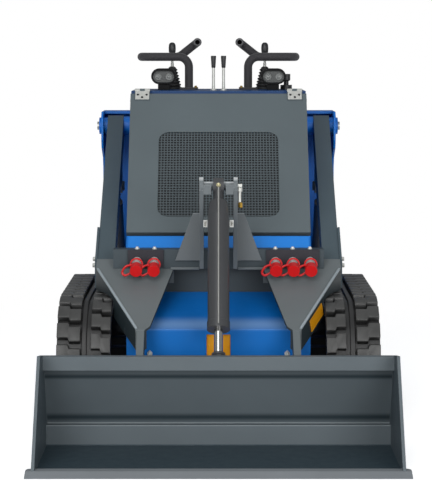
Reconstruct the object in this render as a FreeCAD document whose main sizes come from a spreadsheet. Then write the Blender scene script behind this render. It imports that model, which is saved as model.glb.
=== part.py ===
import FreeCAD, Part
import Sketcher
import math
import os
import re

# Mini track loader that the operator stands on: a welded hull between two rubber tracks,
# two lift arms pivoted on rear towers, and a bucket tilted by one central cylinder.
# Millimetres and degrees. X is across the machine, Y runs from the bucket (-Y) to the
# platform (+Y), Z is up from the floor, and the origin is under the middle of the machine.

SIZES = {
    # reach of the whole machine from its middle
    "front_reach": 1125, "rear_reach": 1125,
    # hull between the tracks
    "hull_half": 308, "hull_wall": 10, "hull_low": 140, "hull_high": 430, "hull_rear": 717,
    "cowl_front": 446, "cowl_bend": 346.5, "cowl_sheet": 5,
    "shelf_front": 140, "shelf_bend": 574, "shelf_run": 48, "shelf_rise": 48,
    # upper body
    "body_half": 324, "panel_sheet": 6, "flange_width": 22, "deck_thick": 15, "rear_sheet": 8,
    "moving_gap": 5, "seat_gap": 0.3,
    # hood lid, hinged along its top edge
    "hood_over_shelf": 12.1, "hood_past_shelf": 3.7, "hinge_over_deck": 17.6, "deck_behind_hinge": 20,
    "hood_lean": 36.6, "hood_half": 325,
    "hood_start": 14, "hood_length": 597, "hood_depth": 25, "hood_skin": 3,
    "grille_start": 185, "grille_length": 361, "grille_half": 217, "grille_corner": 37,
    "grille_rim": 12, "grille_sheet": 2, "grille_pitch": 30.0, "grille_wire": 10.0,
    "knuckle_radius": 7, "hinge_pin": 4, "hinge_leaf": 4, "hinge_in": 254, "hinge_width": 55,
    "leaf_length": 30,
    # engine block
    "engine_half": 190, "engine_front": 120, "engine_length": 430, "engine_tall": 380,
    # towers and boom pivot
    "pivot_back": 545, "pivot_high": 983, "pivot_pin": 20, "tower_in": 324, "tower_inner_plate": 10,
    "tower_out": 449, "tower_outer_plate": 8, "tower_front": 590, "tower_back_plate": 8,
    "tower_low": 360, "tower_cap": 10, "cap_gap": 5, "cap_front": 580, "ear_radius": 62,
    "boss_radius": 36, "outer_boss": 10, "outer_boss_radius": 32, "pin_head": 8, "pin_head_radius": 16,
    "ear_straight": 52, "ear_chamfer": 24, "ear_corner_in": 14, "ear_corner_down": 84,
    "ear_slope_in": 16, "ear_slope_down": 124, "ear_foot_down": 160, "cap_chamfer": 18, "tower_chamfer": 20,
    "bore_play": 0.05, "plate_play": 0.2,
    # lift arms
    "arm_in": 365, "arm_wide": 60, "arm_deep": 80, "arm_wall": 6, "arm_slope": 36,
    "arm_end": 150, "doubler_thick": 8, "doubler_start": 640, "doubler_rise": 6, "track_clear": 6,
    "cowl_clear": 6,
    # lift cylinders
    "lift_base_back": 680, "lift_base_high": 410, "lift_lug_along": 240, "lift_lug_drop": 100,
    "lift_barrel_radius": 28, "lift_barrel_length": 360, "lift_rod_radius": 15,
    "lift_gland_length": 20, "lift_rod_inset": 40, "lift_eye_radius": 25, "lift_eye_wide": 34,
    "lift_pin": 14, "lug_thick": 8, "lug_radius": 28, "lug_boss": 18, "way_floor": 8,
    "lift_shoulder": 30, "lift_shoulder_end": 36,
    # cross member between the arms
    "cross_front": 205, "cross_high": 587, "cross_wall": 6,
    # forks that carry the bucket
    "fork_high": 520, "fork_slope": 26, "fork_in": 156, "fork_tip": 539, "fork_tip_in": 226,
    "fork_tip_out": 273, "fork_neck": 518, "fork_deep": 80, "fork_tip_deep": 67, "fork_sheet": 8,
    "leg_in": 244, "leg_thick": 24, "leg_front": 637, "leg_half": 32, "leg_back": 30, "leg_sink": 2,
    "leg_brow": 290, "leg_calf_in": 8, "leg_calf": 258, "pin_proud": 5,
    "bucket_pin_front": 605, "bucket_pin_high": 138, "bucket_pin": 15,
    # bracket and cylinder that tilt the bucket
    "tilt_pin_front": 315, "tilt_pin_high": 815, "tilt_pin": 15, "bracket_in": 51,
    "bracket_plate": 14, "bracket_boss": 30, "gusset_thick": 8, "gusset_reach": 150,
    "gusset_top_reach": 89, "gusset_high": 712, "gusset_low": 549, "keeper_thick": 10,
    "keeper_tall": 32, "keeper_gap": 4, "keeper_rise": 6, "keeper_inner": 25, "bracket_lift": 4,
    "bracket_toe": 40, "bracket_front_drop": 12, "bracket_back_rise": 10, "bracket_heel_in": 12,
    "bracket_heel": 30, "boss_blend": 2,
    "rod_pin_front": 646, "rod_pin_high": 250, "tilt_barrel_radius": 36, "tilt_gland_radius": 38,
    "tilt_gland_length": 26, "tilt_rod_inset": 88, "tilt_barrel_length": 522, "tilt_rod_radius": 14.5,
    "tilt_eye_radius": 28, "tilt_eye_wide": 36, "rod_eye_radius": 26, "tilt_shoulder": 54,
    "tilt_shoulder_end": 112,
    # couplers for powered tools
    "coupler_plate": 8, "coupler_high": 545, "coupler_radius": 16, "coupler_length": 56,
    "coupler_tilt": 15, "cap_radius": 21, "cap_length": 32, "coupler_pitch": 60,
    "coupler_left": 222, "coupler_right": 197, "coupler_margin": 32, "coupler_tall": 60,
    # bucket
    "bucket_half": 564, "bucket_side": 10, "bucket_sheet": 8, "edge_ear": 17, "edge_deep": 70,
    "edge_thick": 16, "edge_bevel": 35, "edge_nose": 3, "floor_rear": 705, "step_high": 74, "ledge_deep": 33,
    "wall_lean": 23.2, "wall_tall": 211, "lip_tall": 45, "lip_deep": 22, "side_top": 872,
    "side_high": 328,
    # plate that carries the bucket
    "hitch_half": 300, "hitch_thick": 12, "hitch_low": 12, "hitch_tall": 185, "hitch_lug": 12,
    "hitch_side_gap": 4, "hitch_boss": 28, "ear_low": 4, "ear_tall": 120, "tilt_ear_tall": 90,
    "tilt_ear_sink": 2,
    # tracks
    "track_in": 361, "track_wide": 180, "wheel_base": 560, "wheel_middle": 10, "track_radius": 219.5,
    "lug_tall": 22, "belt_thick": 22, "lug_pitch": 72, "lug_base": 58, "lug_tip": 52, "lug_root": 3,
    "outer_row": 79, "inner_row": 66, "wheel_gap": 0.3,
    "idler_wide": 60, "sprocket_wide": 40, "axle_radius": 30, "roller_radius": 45,
    "roller_gap": 3, "roller_pitch": 95, "roller_axle": 16, "beam_in": 401, "beam_wide": 100,
    "beam_plate": 12, "beam_low": 150, "beam_tall": 100, "web_half": 95, "fork_half": 34,
    "frame_front": 150, "frame_rear": 170, "frame_low": 66, "strut_wide": 60, "strut_tall": 60,
    "strut_offset": 110, "strut_rise": 20, "hub_reach": 20,
    # platform
    "platform_half": 270, "platform_front": 800, "platform_high": 165, "platform_thick": 8,
    "platform_rim": 40, "bracket_across": 200, "bracket_thick": 12, "bracket_tall": 90,
    "bracket_up": 15,
    # controls on the deck
    "rail_tube": 16, "rail_foot_across": 114, "rail_foot_back": 560, "rail_over_deck": 125.5,
    "rail_out": 314, "rail_back": 700, "rail_end_over_deck": 182, "rail_end_across": 82, "rail_turn": 40,
    "rail_end_back": 640, "rail_bend": 40, "foot_plate": 70, "foot_thick": 8,
    "stick_across": 180, "stick_back": 630, "boot_radius": 36, "boot_tall": 84, "boot_foot": 8,
    "boot_lip": 6, "boot_neck": 4, "knob_round": 8,
    "knob_radius": 14, "knob_tall": 44, "stick_tall": 181, "shaft_radius": 6,
    "lamp_across": 209, "lamp_back": 470, "lamp_over_deck": 52, "lamp_half_tall": 30,
    "lamp_wide": 95, "lamp_deep": 60, "lamp_foot": 44,
    "lever_across": 19, "lever_back": 420, "lever_tall": 130, "lever_shaft": 6, "grip_radius": 10,
    "grip_tall": 45, "lever_foot": 6, "grip_edge": 3, "key_across": 261, "key_back": 560, "key_radius": 16,
    "key_tall": 60, "key_collar": 18, "key_neck": 28, "key_edge": 24,
}

DOC = FreeCAD.newDocument("mini_track_loader")
SHEET = DOC.addObject("Spreadsheet::Sheet", "sizes")
for row, (word, number) in enumerate(SIZES.items(), start=1):
    SHEET.set(f"A{row}", word)
    SHEET.set(f"B{row}", str(number))
    SHEET.setAlias(f"B{row}", word)
DOC.recompute()

NODES = []
SIDES = (("left", -1), ("right", 1))


def formula(text):
    """The same words, each size written as a cell of the sheet."""
    return re.sub(r"[a-z_]+", lambda m: f"sizes.{m.group()}" if m.group() in SIZES else m.group(), str(text))


def value(text):
    return float(SHEET.evalExpression(formula(text)))


def bind(thing, path, text):
    thing.setExpression(path, formula(text))


def place(thing, x=0, y=0, z=0, axis=None, angle=None):
    if axis:
        thing.Placement = FreeCAD.Placement(FreeCAD.Vector(), FreeCAD.Rotation(FreeCAD.Vector(*axis), value(angle)))
        bind(thing, "Placement.Rotation.Angle", angle)
    for letter, text in zip("xyz", (x, y, z)):
        bind(thing, f"Placement.Base.{letter}", text)
    return thing


def node(thing, name):
    thing.Label = name
    NODES.append(thing)
    return thing


def block(name, x, y, z, wide, deep, tall):
    box = DOC.addObject("Part::Box", name)
    bind(box, "Length", wide)
    bind(box, "Width", deep)
    bind(box, "Height", tall)
    return place(box, x, y, z)


AXIS_TURNS = {"X": ((0, 1, 0), 90), "Y": ((1, 0, 0), -90), "Z": ((0, 0, 1), 0)}


def cylinder(name, along, radius, length, x, y, z):
    """A round bar that starts at x, y, z and runs along +X, +Y or +Z."""
    bar = DOC.addObject("Part::Cylinder", name)
    bind(bar, "Radius", radius)
    bind(bar, "Height", length)
    axis, angle = AXIS_TURNS[along]
    bar.Placement = FreeCAD.Placement(FreeCAD.Vector(), FreeCAD.Rotation(FreeCAD.Vector(*axis), angle))
    return place(bar, x, y, z)


def leaning_bar(name, radius, length, x, y, z, angle):
    """A round bar in the plane of Y and Z, turned about X by an angle from straight up."""
    bar = DOC.addObject("Part::Cylinder", name)
    bind(bar, "Radius", radius)
    bind(bar, "Height", length)
    return place(bar, x, y, z, (1, 0, 0), angle)


def prism(name, plane, start, length, points):
    """A sketch of straight lines on an origin plane, padded along that plane's axis from start."""
    body = DOC.addObject("PartDesign::Body", name)
    sketch = body.newObject("Sketcher::SketchObject", f"{name}_sketch")
    support = [part for part in body.Origin.OriginFeatures if part.Role == f"{plane}_Plane"][0]
    sketch.AttachmentSupport = (support, [""])
    sketch.MapMode = "FlatFace"
    flipped = plane == "XZ"
    bind(sketch, "AttachmentOffset.Base.z", f"-({start})" if flipped else start)
    corners = [FreeCAD.Vector(value(a), value(b), 0) for a, b in points]
    count = len(points)
    for index in range(count):
        sketch.addGeometry(Part.LineSegment(corners[index], corners[(index + 1) % count]))
    for index in range(count):
        sketch.addConstraint(Sketcher.Constraint("Coincident", index, 2, (index + 1) % count, 1))
    for index, (a, b) in enumerate(points):
        for kind, text, number in (("DistanceX", a, corners[index].x), ("DistanceY", b, corners[index].y)):
            made = sketch.addConstraint(Sketcher.Constraint(kind, index, 1, number))
            bind(sketch, f"Constraints[{made}]", text)
    pad = body.newObject("PartDesign::Pad", f"{name}_pad")
    pad.Profile = sketch
    pad.Reversed = flipped
    bind(pad, "Length", length)
    return body


def turned(name, points):
    """A profile of radius and height, turned about the upright axis."""
    body = DOC.addObject("PartDesign::Body", name)
    sketch = body.newObject("Sketcher::SketchObject", f"{name}_sketch")
    support = [part for part in body.Origin.OriginFeatures if part.Role == "XZ_Plane"][0]
    sketch.AttachmentSupport = (support, [""])
    sketch.MapMode = "FlatFace"
    corners = [FreeCAD.Vector(value(a), value(b), 0) for a, b in points]
    count = len(points)
    for index in range(count):
        sketch.addGeometry(Part.LineSegment(corners[index], corners[(index + 1) % count]))
    for index in range(count):
        sketch.addConstraint(Sketcher.Constraint("Coincident", index, 2, (index + 1) % count, 1))
    for index, (a, b) in enumerate(points):
        for kind, text, number in (("DistanceX", a, corners[index].x), ("DistanceY", b, corners[index].y)):
            made = sketch.addConstraint(Sketcher.Constraint(kind, index, 1, number))
            bind(sketch, f"Constraints[{made}]", text)
    revolution = body.newObject("PartDesign::Revolution", f"{name}_turn")
    revolution.Profile = sketch
    revolution.ReferenceAxis = (sketch, ["V_Axis"])
    revolution.Angle = 360
    return body


def fused(name, parts):
    join = DOC.addObject("Part::MultiFuse", name)
    join.Shapes = parts
    join.Refine = True
    return join


def cut(name, base, tools):
    result = DOC.addObject("Part::Cut", name)
    result.Base = base
    result.Tool = tools[0] if len(tools) == 1 else fused(f"{name}_tools", tools)
    return result


def common(name, first, second):
    result = DOC.addObject("Part::MultiCommon", name)
    result.Shapes = [first, second]
    return result


def gathered(name, parts):
    """Like pieces that don't touch, kept together in one node."""
    group = DOC.addObject("Part::Compound", name)
    group.Links = parts
    return group


def carried(thing):
    """A piece drawn in place, held so that the whole of it can be moved and turned."""
    return gathered(f"{thing.Name}_carried", [thing])


def across(side, inner, outer):
    """Where a piece between two distances from the middle starts along X, and how wide it is."""
    return (inner if side > 0 else f"-({outer})"), f"({outer}) - ({inner})"


def beside(side, distance):
    return distance if side > 0 else f"-({distance})"


# ---------------------------------------------------------------- hull and its sheets

COWL_SLOPE = "((hull_high - cowl_bend) / (cowl_front - shelf_front))"
COWL_UNDER = f"cowl_sheet * sqrt(1 + {COWL_SLOPE} * {COWL_SLOPE})"
COWL_FRONT_IN = "-(cowl_front - cowl_sheet)"
COWL_BEND_IN = f"cowl_bend + cowl_sheet * {COWL_SLOPE} - {COWL_UNDER}"
COWL_TOP_IN = f"hull_high - {COWL_UNDER}"


def hull():
    """Open steel tub: two side walls, a floor and a rear wall."""
    walls = []
    for word, side in SIDES:
        start, wide = across(side, "hull_half - hull_wall", "hull_half")
        walls.append(prism(f"hull_wall_{word}", "YZ", start, wide, [
            (COWL_FRONT_IN, "hull_low"), ("hull_rear", "hull_low"), ("hull_rear", "hull_high"),
            ("-shelf_front", "hull_high"), ("-shelf_front", COWL_TOP_IN), (COWL_FRONT_IN, COWL_BEND_IN)]))
    inner = "2 * (hull_half - hull_wall)"
    length = f"hull_rear - ({COWL_FRONT_IN})"
    floor = block("hull_floor", "-(hull_half - hull_wall)", COWL_FRONT_IN, "hull_low", inner, length, "hull_wall")
    rear = block("hull_rear_wall", "-(hull_half - hull_wall)", "hull_rear - hull_wall", "hull_low",
                 inner, "hull_wall", "hull_high - hull_low")
    node(fused("hull", walls + [floor, rear]), "hull")


def front_cowl():
    """Bent sheet that closes the front of the hull: upright face, then a long slope."""
    node(prism("front_cowl", "YZ", "-hull_half", "2 * hull_half", [
        ("-cowl_front", "hull_low"), (COWL_FRONT_IN, "hull_low"), (COWL_FRONT_IN, COWL_BEND_IN),
        ("-shelf_front", COWL_TOP_IN), ("-shelf_front", "hull_high"), ("-cowl_front", "cowl_bend")]), "front_cowl")


SHELF_SLOPE = "(shelf_rise / shelf_run)"
SHELF_UNDER = f"cowl_sheet * sqrt(1 + {SHELF_SLOPE} * {SHELF_SLOPE})"
PANEL_INSIDE = "(body_half - panel_sheet)"


def shelf_cowl():
    """Bent sheet under the hood: upright face with a sloping shelf on top."""
    node(prism("shelf_cowl", "YZ", f"-{PANEL_INSIDE}", f"2 * {PANEL_INSIDE}", [
        ("-shelf_front", "hull_high"), ("-shelf_front + cowl_sheet", "hull_high"),
        ("-shelf_front + cowl_sheet", f"shelf_bend + cowl_sheet * {SHELF_SLOPE} - {SHELF_UNDER}"),
        ("-shelf_front + shelf_run", f"shelf_bend + shelf_rise - {SHELF_UNDER}"),
        ("-shelf_front + shelf_run", "shelf_bend + shelf_rise"), ("-shelf_front", "shelf_bend")]), "shelf_cowl")


# The hood stands on the shelf, and its length sets the hinge, the deck and all that the deck carries.
HOOD_END = "(hood_start + hood_length)"
HINGE_BACK = f"(shelf_run - shelf_front + hood_past_shelf + {HOOD_END} * sin(hood_lean))"
HINGE_HIGH = f"(shelf_bend + shelf_rise + hood_over_shelf + {HOOD_END} * cos(hood_lean))"
DECK_LOW = f"({HINGE_HIGH} - hinge_over_deck)"
DECK_FRONT = f"({HINGE_BACK} + deck_behind_hinge)"
DECK_TOP = f"({DECK_LOW} + deck_thick)"

# Height of the line that the side panels follow behind the closed hood.
HOOD_BACK_DEPTH = "(hood_depth + moving_gap)"
EDGE_END = f"({HOOD_END} + moving_gap)"
EDGE_LOW_Y = f"({HINGE_BACK} - {EDGE_END} * sin(hood_lean) + {HOOD_BACK_DEPTH} * cos(hood_lean))"
EDGE_LOW_Z = f"({HINGE_HIGH} - {EDGE_END} * cos(hood_lean) - {HOOD_BACK_DEPTH} * sin(hood_lean))"
EDGE_TOP_Y = f"({EDGE_LOW_Y} + ({DECK_LOW} - {EDGE_LOW_Z}) * tan(hood_lean))"


def side_panels():
    """Upper body sides: a sheet that follows the hood's slope, on a flange over the hull."""
    for word, side in SIDES:
        start, wide = across(side, PANEL_INSIDE, "body_half")
        sheet = prism(f"side_sheet_{word}", "YZ", start, wide, [
            ("-shelf_front", "hull_high"), ("hull_rear", "hull_high"), ("hull_rear", DECK_LOW),
            (EDGE_TOP_Y, DECK_LOW), (EDGE_LOW_Y, EDGE_LOW_Z),
            ("-shelf_front + shelf_run", "shelf_bend + shelf_rise"), ("-shelf_front", "shelf_bend")])
        start, wide = across(side, "body_half - flange_width", PANEL_INSIDE)
        flange = block(f"side_flange_{word}", start, "-shelf_front + cowl_sheet", "hull_high", wide,
                       "hull_rear - rear_sheet + shelf_front - cowl_sheet", "panel_sheet")
        node(fused(f"side_panel_{word}", [sheet, flange]), f"side_panel_{word}")


def deck_and_rear():
    """Flat top plate that carries the controls, and the sheet that closes the rear."""
    node(block("top_deck", "-body_half", DECK_FRONT, DECK_LOW, "2 * body_half",
               f"hull_rear - {DECK_FRONT}", "deck_thick"), "top_deck")
    node(block("rear_panel", f"-{PANEL_INSIDE}", "hull_rear - rear_sheet", "hull_high",
               f"2 * {PANEL_INSIDE}", "rear_sheet", f"{DECK_LOW} - hull_high"), "rear_panel")


def engine():
    """The engine, as one plain heavy block on the hull's floor."""
    node(block("engine", "-engine_half", "engine_front", "hull_low + hull_wall", "2 * engine_half",
               "engine_length", "engine_tall"), "engine")


def platform():
    """Step at the rear that the operator stands on, with a rim and two brackets off the hull."""
    length = "rear_reach - platform_front"
    plate = block("platform_plate", "-platform_half", "platform_front", "platform_high",
                  "2 * platform_half", length, "platform_thick")
    rims = []
    for word, side in SIDES:
        start, wide = across(side, "platform_half - platform_thick", "platform_half")
        rims.append(block(f"platform_rim_{word}", start, "platform_front", "platform_high - platform_rim", wide,
                          length, "platform_rim"))
        start, wide = across(side, "bracket_across", "bracket_across + bracket_thick")
        rims.append(block(f"platform_bracket_{word}", start, "hull_rear", "platform_high - platform_rim + bracket_up", wide,
                          "rear_reach - hull_rear - platform_rim", "platform_rim - bracket_up"))
        rims.append(block(f"platform_riser_{word}", start, "hull_rear", "platform_high - platform_rim + bracket_up", wide,
                          "platform_front - hull_rear", "bracket_tall"))
    node(fused("platform", [plate] + rims), "platform")


# ---------------------------------------------------------------- hood lid

def in_hood(thing):
    """Put a piece drawn flat, with the hinge line as its origin, onto the hood's slope."""
    return place(carried(thing), 0, HINGE_BACK, HINGE_HIGH, (1, 0, 0), "90 - hood_lean")


def hood():
    """Pressed lid: a pan with turned-back edges, cut for the grille, with a knuckle on each side."""
    outer = block("hood_pan", "-hood_half", f"-{HOOD_END}", "-hood_depth", "2 * hood_half", "hood_length", "hood_depth")
    hollow = block("hood_hollow", "-hood_half + hood_skin", f"-{HOOD_END} + hood_skin", "-hood_depth",
                   "2 * (hood_half - hood_skin)", "hood_length - 2 * hood_skin", "hood_depth - hood_skin")
    window = block("hood_window", "-grille_half", "-grille_start - grille_length", "-hood_depth",
                   "2 * grille_half", "grille_length", "2 * hood_depth")
    rounded = DOC.addObject("Part::Fillet", "hood_window_rounded")
    rounded.Base = window
    DOC.recompute()
    upright = [index for index, edge in enumerate(window.Shape.Edges, start=1)
               if abs(edge.tangentAt(edge.FirstParameter).z) > 0.9]
    rounded.Edges = [(index, value("grille_corner"), value("grille_corner")) for index in upright]
    pan = cut("hood_shell", outer, [hollow, rounded])
    knuckles = []
    bores = []
    third = "(hinge_width / 3)"
    for word, side in SIDES:
        start, wide = across(side, f"hinge_in + {third} + plate_play", f"hinge_in + 2 * {third} - plate_play")
        knuckles.append(cylinder(f"hood_knuckle_{word}", "X", "knuckle_radius", wide, start, 0, 0))
        knuckles.append(block(f"hood_neck_{word}", start, f"-hood_start - {third}", 0, wide,
                              f"hood_start + {third}", "hinge_leaf"))
        start, wide = across(side, "hinge_in", "hinge_in + hinge_width")
        knuckles.append(block(f"hood_leaf_{word}", start, "-hood_start - leaf_length", 0, wide,
                              "leaf_length", "hinge_leaf"))
        bores.append(cylinder(f"hood_knuckle_bore_{word}", "X", "hinge_pin + bore_play", wide, start, 0, 0))
    node(in_hood(cut("hood_lid", fused("hood_with_knuckles", [pan] + knuckles), bores)), "hood_panel")


def hood_hinges():
    """Deck side of the two hood hinges: a leaf, two outer knuckles and the pin."""
    hinges = []
    third = "(hinge_width / 3)"
    for word, side in SIDES:
        start, wide = across(side, "hinge_in", "hinge_in + hinge_width")
        pieces = [cylinder(f"hinge_pin_{word}", "X", "hinge_pin", wide, start, HINGE_BACK, HINGE_HIGH)]
        for index, inner in (("a", "hinge_in"), ("b", f"hinge_in + 2 * {third}")):
            start, wide = across(side, inner, f"{inner} + {third}")
            pieces.append(cylinder(f"deck_knuckle_{index}_{word}", "X", "knuckle_radius", wide, start,
                                   HINGE_BACK, HINGE_HIGH))
            pieces.append(block(f"deck_neck_{index}_{word}", start, HINGE_BACK, DECK_TOP,
                                wide, "deck_behind_hinge + leaf_length", "hinge_leaf"))
        start, wide = across(side, "hinge_in", "hinge_in + hinge_width")
        pieces.append(block(f"deck_leaf_{word}", start, DECK_FRONT, DECK_TOP, wide,
                            "leaf_length", "hinge_leaf"))
        hinges.append(fused(f"hood_hinge_{word}", pieces))
    node(gathered("hood_hinges", hinges), "hood_hinges")


def grille():
    """Sheet of square holes behind the hood's window."""
    wide = "2 * (grille_half + grille_rim)"
    tall = "grille_length + 2 * grille_rim"
    sheet = block("grille_blank", "-grille_half - grille_rim", "-grille_start - grille_length - grille_rim",
                  "-hood_skin - grille_sheet", wide, tall, "grille_sheet")
    node(in_hood(sheet), "hood_grille")


# ---------------------------------------------------------------- towers and pivots

def tower(word, side):
    """Boxed tower beside the body: two plates, a back and a cap, with bosses for the arm's pin."""
    pieces = []
    cap_low = "(pivot_high + arm_deep / 2 + cap_gap)"
    cap_high = f"({cap_low} + tower_cap)"
    rear = "(hull_rear + tower_back_plate)"
    for index, inner, outer in (("inner", "tower_in", "tower_in + tower_inner_plate"),
                                ("outer", "tower_out - tower_outer_plate", "tower_out")):
        start, wide = across(side, inner, outer)
        pieces.append(prism(f"tower_{index}_plate_{word}", "YZ", start, wide, [
            ("tower_front + tower_chamfer", "tower_low"), (rear, "tower_low"), (rear, f"{cap_high} - cap_chamfer"),
            (f"{rear} - cap_chamfer", cap_high), ("pivot_back - ear_radius + ear_chamfer", cap_high),
            ("pivot_back - ear_radius", f"{cap_high} - ear_chamfer"), ("pivot_back - ear_radius", "pivot_high - ear_straight"),
            ("pivot_back - ear_radius + ear_corner_in", "pivot_high - ear_corner_down"),
            ("tower_front - ear_slope_in", "pivot_high - ear_slope_down"), ("tower_front", "pivot_high - ear_foot_down"),
            ("tower_front", "tower_low + tower_chamfer")]))
    start, wide = across(side, "hull_half - hull_wall", "tower_out")
    pieces.append(block(f"tower_back_{word}", start, "hull_rear", "tower_low", wide, "tower_back_plate",
                        f"{cap_high} - cap_chamfer - tower_low"))
    start, wide = across(side, "tower_in", "tower_out")
    pieces.append(block(f"tower_cap_{word}", start, "cap_front", cap_low, wide, f"{rear} - cap_chamfer - cap_front",
                        "tower_cap"))
    start, wide = across(side, "tower_in", "arm_in - plate_play")
    pieces.append(cylinder(f"tower_inner_boss_{word}", "X", "boss_radius", wide, start, "pivot_back", "pivot_high"))
    start, wide = across(side, "arm_in + arm_wide + plate_play", "tower_out + outer_boss")
    pieces.append(cylinder(f"tower_outer_boss_{word}", "X", "outer_boss_radius", wide, start, "pivot_back", "pivot_high"))
    start, wide = across(side, "tower_in", "tower_out")
    pieces.append(cylinder(f"tower_lift_pin_{word}", "X", "lift_pin", wide, start, "lift_base_back", "lift_base_high"))
    start, wide = across(side, "tower_in", "tower_out + outer_boss")
    bore = cylinder(f"tower_bore_{word}", "X", "pivot_pin + plate_play", wide, start, "pivot_back", "pivot_high")
    node(cut(f"tower_{word}", fused(f"tower_solid_{word}", pieces), [bore]), f"tower_{word}")


def boom_pins():
    """Headed pins on which the arms turn."""
    pins = []
    for word, side in SIDES:
        start, wide = across(side, "tower_in + tower_inner_plate", "tower_out + outer_boss")
        bar = cylinder(f"boom_pin_bar_{word}", "X", "pivot_pin", wide, start, "pivot_back", "pivot_high")
        start, wide = across(side, "tower_out + outer_boss", "tower_out + outer_boss + pin_head")
        head = cylinder(f"boom_pin_head_{word}", "X", "pin_head_radius", wide, start, "pivot_back", "pivot_high")
        pins.append(fused(f"boom_pin_{word}", [bar, head]))
    node(gathered("boom_pins", pins), "boom_pins")


# ---------------------------------------------------------------- lift arms

def in_arm(thing):
    """Put a piece drawn level, with the pivot as its origin, onto the arm's slope."""
    return place(carried(thing), 0, "pivot_back", "pivot_high", (1, 0, 0), "arm_slope")


ARM_OUT = "(arm_in + arm_wide)"
OVER_TRACK = "(2 * track_radius + track_clear)"
ARM_HALF = "(arm_deep / 2)"
ARM_REACH = "((pivot_back + arm_end) / cos(arm_slope))"


def arm(word, side):
    """Rectangular tube from the tower to the fork, with lugs below for the lift cylinder."""
    start, wide = across(side, "arm_in", ARM_OUT)
    long_reach = f"({ARM_REACH} + arm_deep)"
    tube = block(f"arm_tube_{word}", start, f"-{long_reach}", f"-{ARM_HALF}", wide, long_reach, "arm_deep")
    round_end = cylinder(f"arm_round_{word}", "X", ARM_HALF, wide, start, 0, 0)
    pieces = [tube, round_end]
    for index, inner, outer in (("a", "arm_in", "arm_in + lug_thick"), ("b", f"{ARM_OUT} - lug_thick", ARM_OUT)):
        start, wide = across(side, inner, outer)
        pieces.append(prism(f"arm_lug_{index}_{word}", "YZ", start, wide, [
            ("-lift_lug_along - 2 * lug_radius", f"-{ARM_HALF}"), ("-lift_lug_along - lug_radius", "-lift_lug_drop"),
            ("-lift_lug_along + lug_radius", "-lift_lug_drop"), ("-lift_lug_along + 2 * lug_radius", f"-{ARM_HALF}")]))
        pieces.append(cylinder(f"arm_lug_round_{index}_{word}", "X", "lug_radius", wide, start,
                               "-lift_lug_along", "-lift_lug_drop"))
    for index, inner, outer in (("a", "arm_in - lug_thick", "arm_in"), ("b", ARM_OUT, f"{ARM_OUT} + lug_thick")):
        start, wide = across(side, inner, outer)
        pieces.append(cylinder(f"arm_pin_end_{index}_{word}", "X", "lug_boss", wide, start,
                               "-lift_lug_along", "-lift_lug_drop"))
    start, wide = across(side, ARM_OUT, f"{ARM_OUT} + doubler_thick")
    pieces.append(block(f"arm_doubler_{word}", start, f"-{long_reach}", f"-{ARM_HALF}", wide,
                        f"{long_reach} - doubler_start", "arm_deep + doubler_rise"))
    start, wide = across(side, "arm_in + arm_wall", f"{ARM_OUT} - arm_wall")
    hollow = block(f"arm_hollow_{word}", start, f"-{long_reach}", f"-{ARM_HALF} + arm_wall", wide,
                   f"{long_reach} - {ARM_HALF} - arm_wall", "arm_deep - 2 * arm_wall")
    start, wide = across(side, "arm_in", ARM_OUT)
    bore = cylinder(f"arm_bore_{word}", "X", "pivot_pin + bore_play", wide, start, 0, 0)
    solid = in_arm(cut(f"arm_whole_{word}", fused(f"arm_solid_{word}", pieces), [hollow, bore]))
    start, wide = across(side, "arm_in - lug_thick", f"{ARM_OUT} + doubler_thick")
    keep = block(f"arm_keep_{word}", start, "-arm_end", OVER_TRACK, wide, "arm_end + pivot_back + arm_deep",
                 "pivot_high + arm_deep")
    node(common(f"arm_{word}", solid, keep), f"arm_{word}")


def fork_height(y_text):
    return f"(fork_high + (({y_text}) + cross_front) * tan(fork_slope))"


def cross_member():
    """Box beam between the arms, which sits on the forks' sloping tops."""
    outer = prism("cross_outer", "YZ", "-arm_in", "2 * arm_in", [
        ("-arm_end", "cross_high"), ("-cross_front", "cross_high"), ("-cross_front", "fork_high"),
        ("-arm_end", fork_height("-arm_end"))])
    inner = prism("cross_inner", "YZ", "-arm_in", "2 * arm_in", [
        ("-arm_end - cross_wall", "cross_high - cross_wall"), ("-cross_front + cross_wall", "cross_high - cross_wall"),
        ("-cross_front + cross_wall", f"{fork_height('-cross_front + cross_wall')} + cross_wall"),
        ("-arm_end - cross_wall", f"{fork_height('-arm_end - cross_wall')} + cross_wall")])
    node(cut("cross_member", outer, [inner]), "cross_member")


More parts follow.
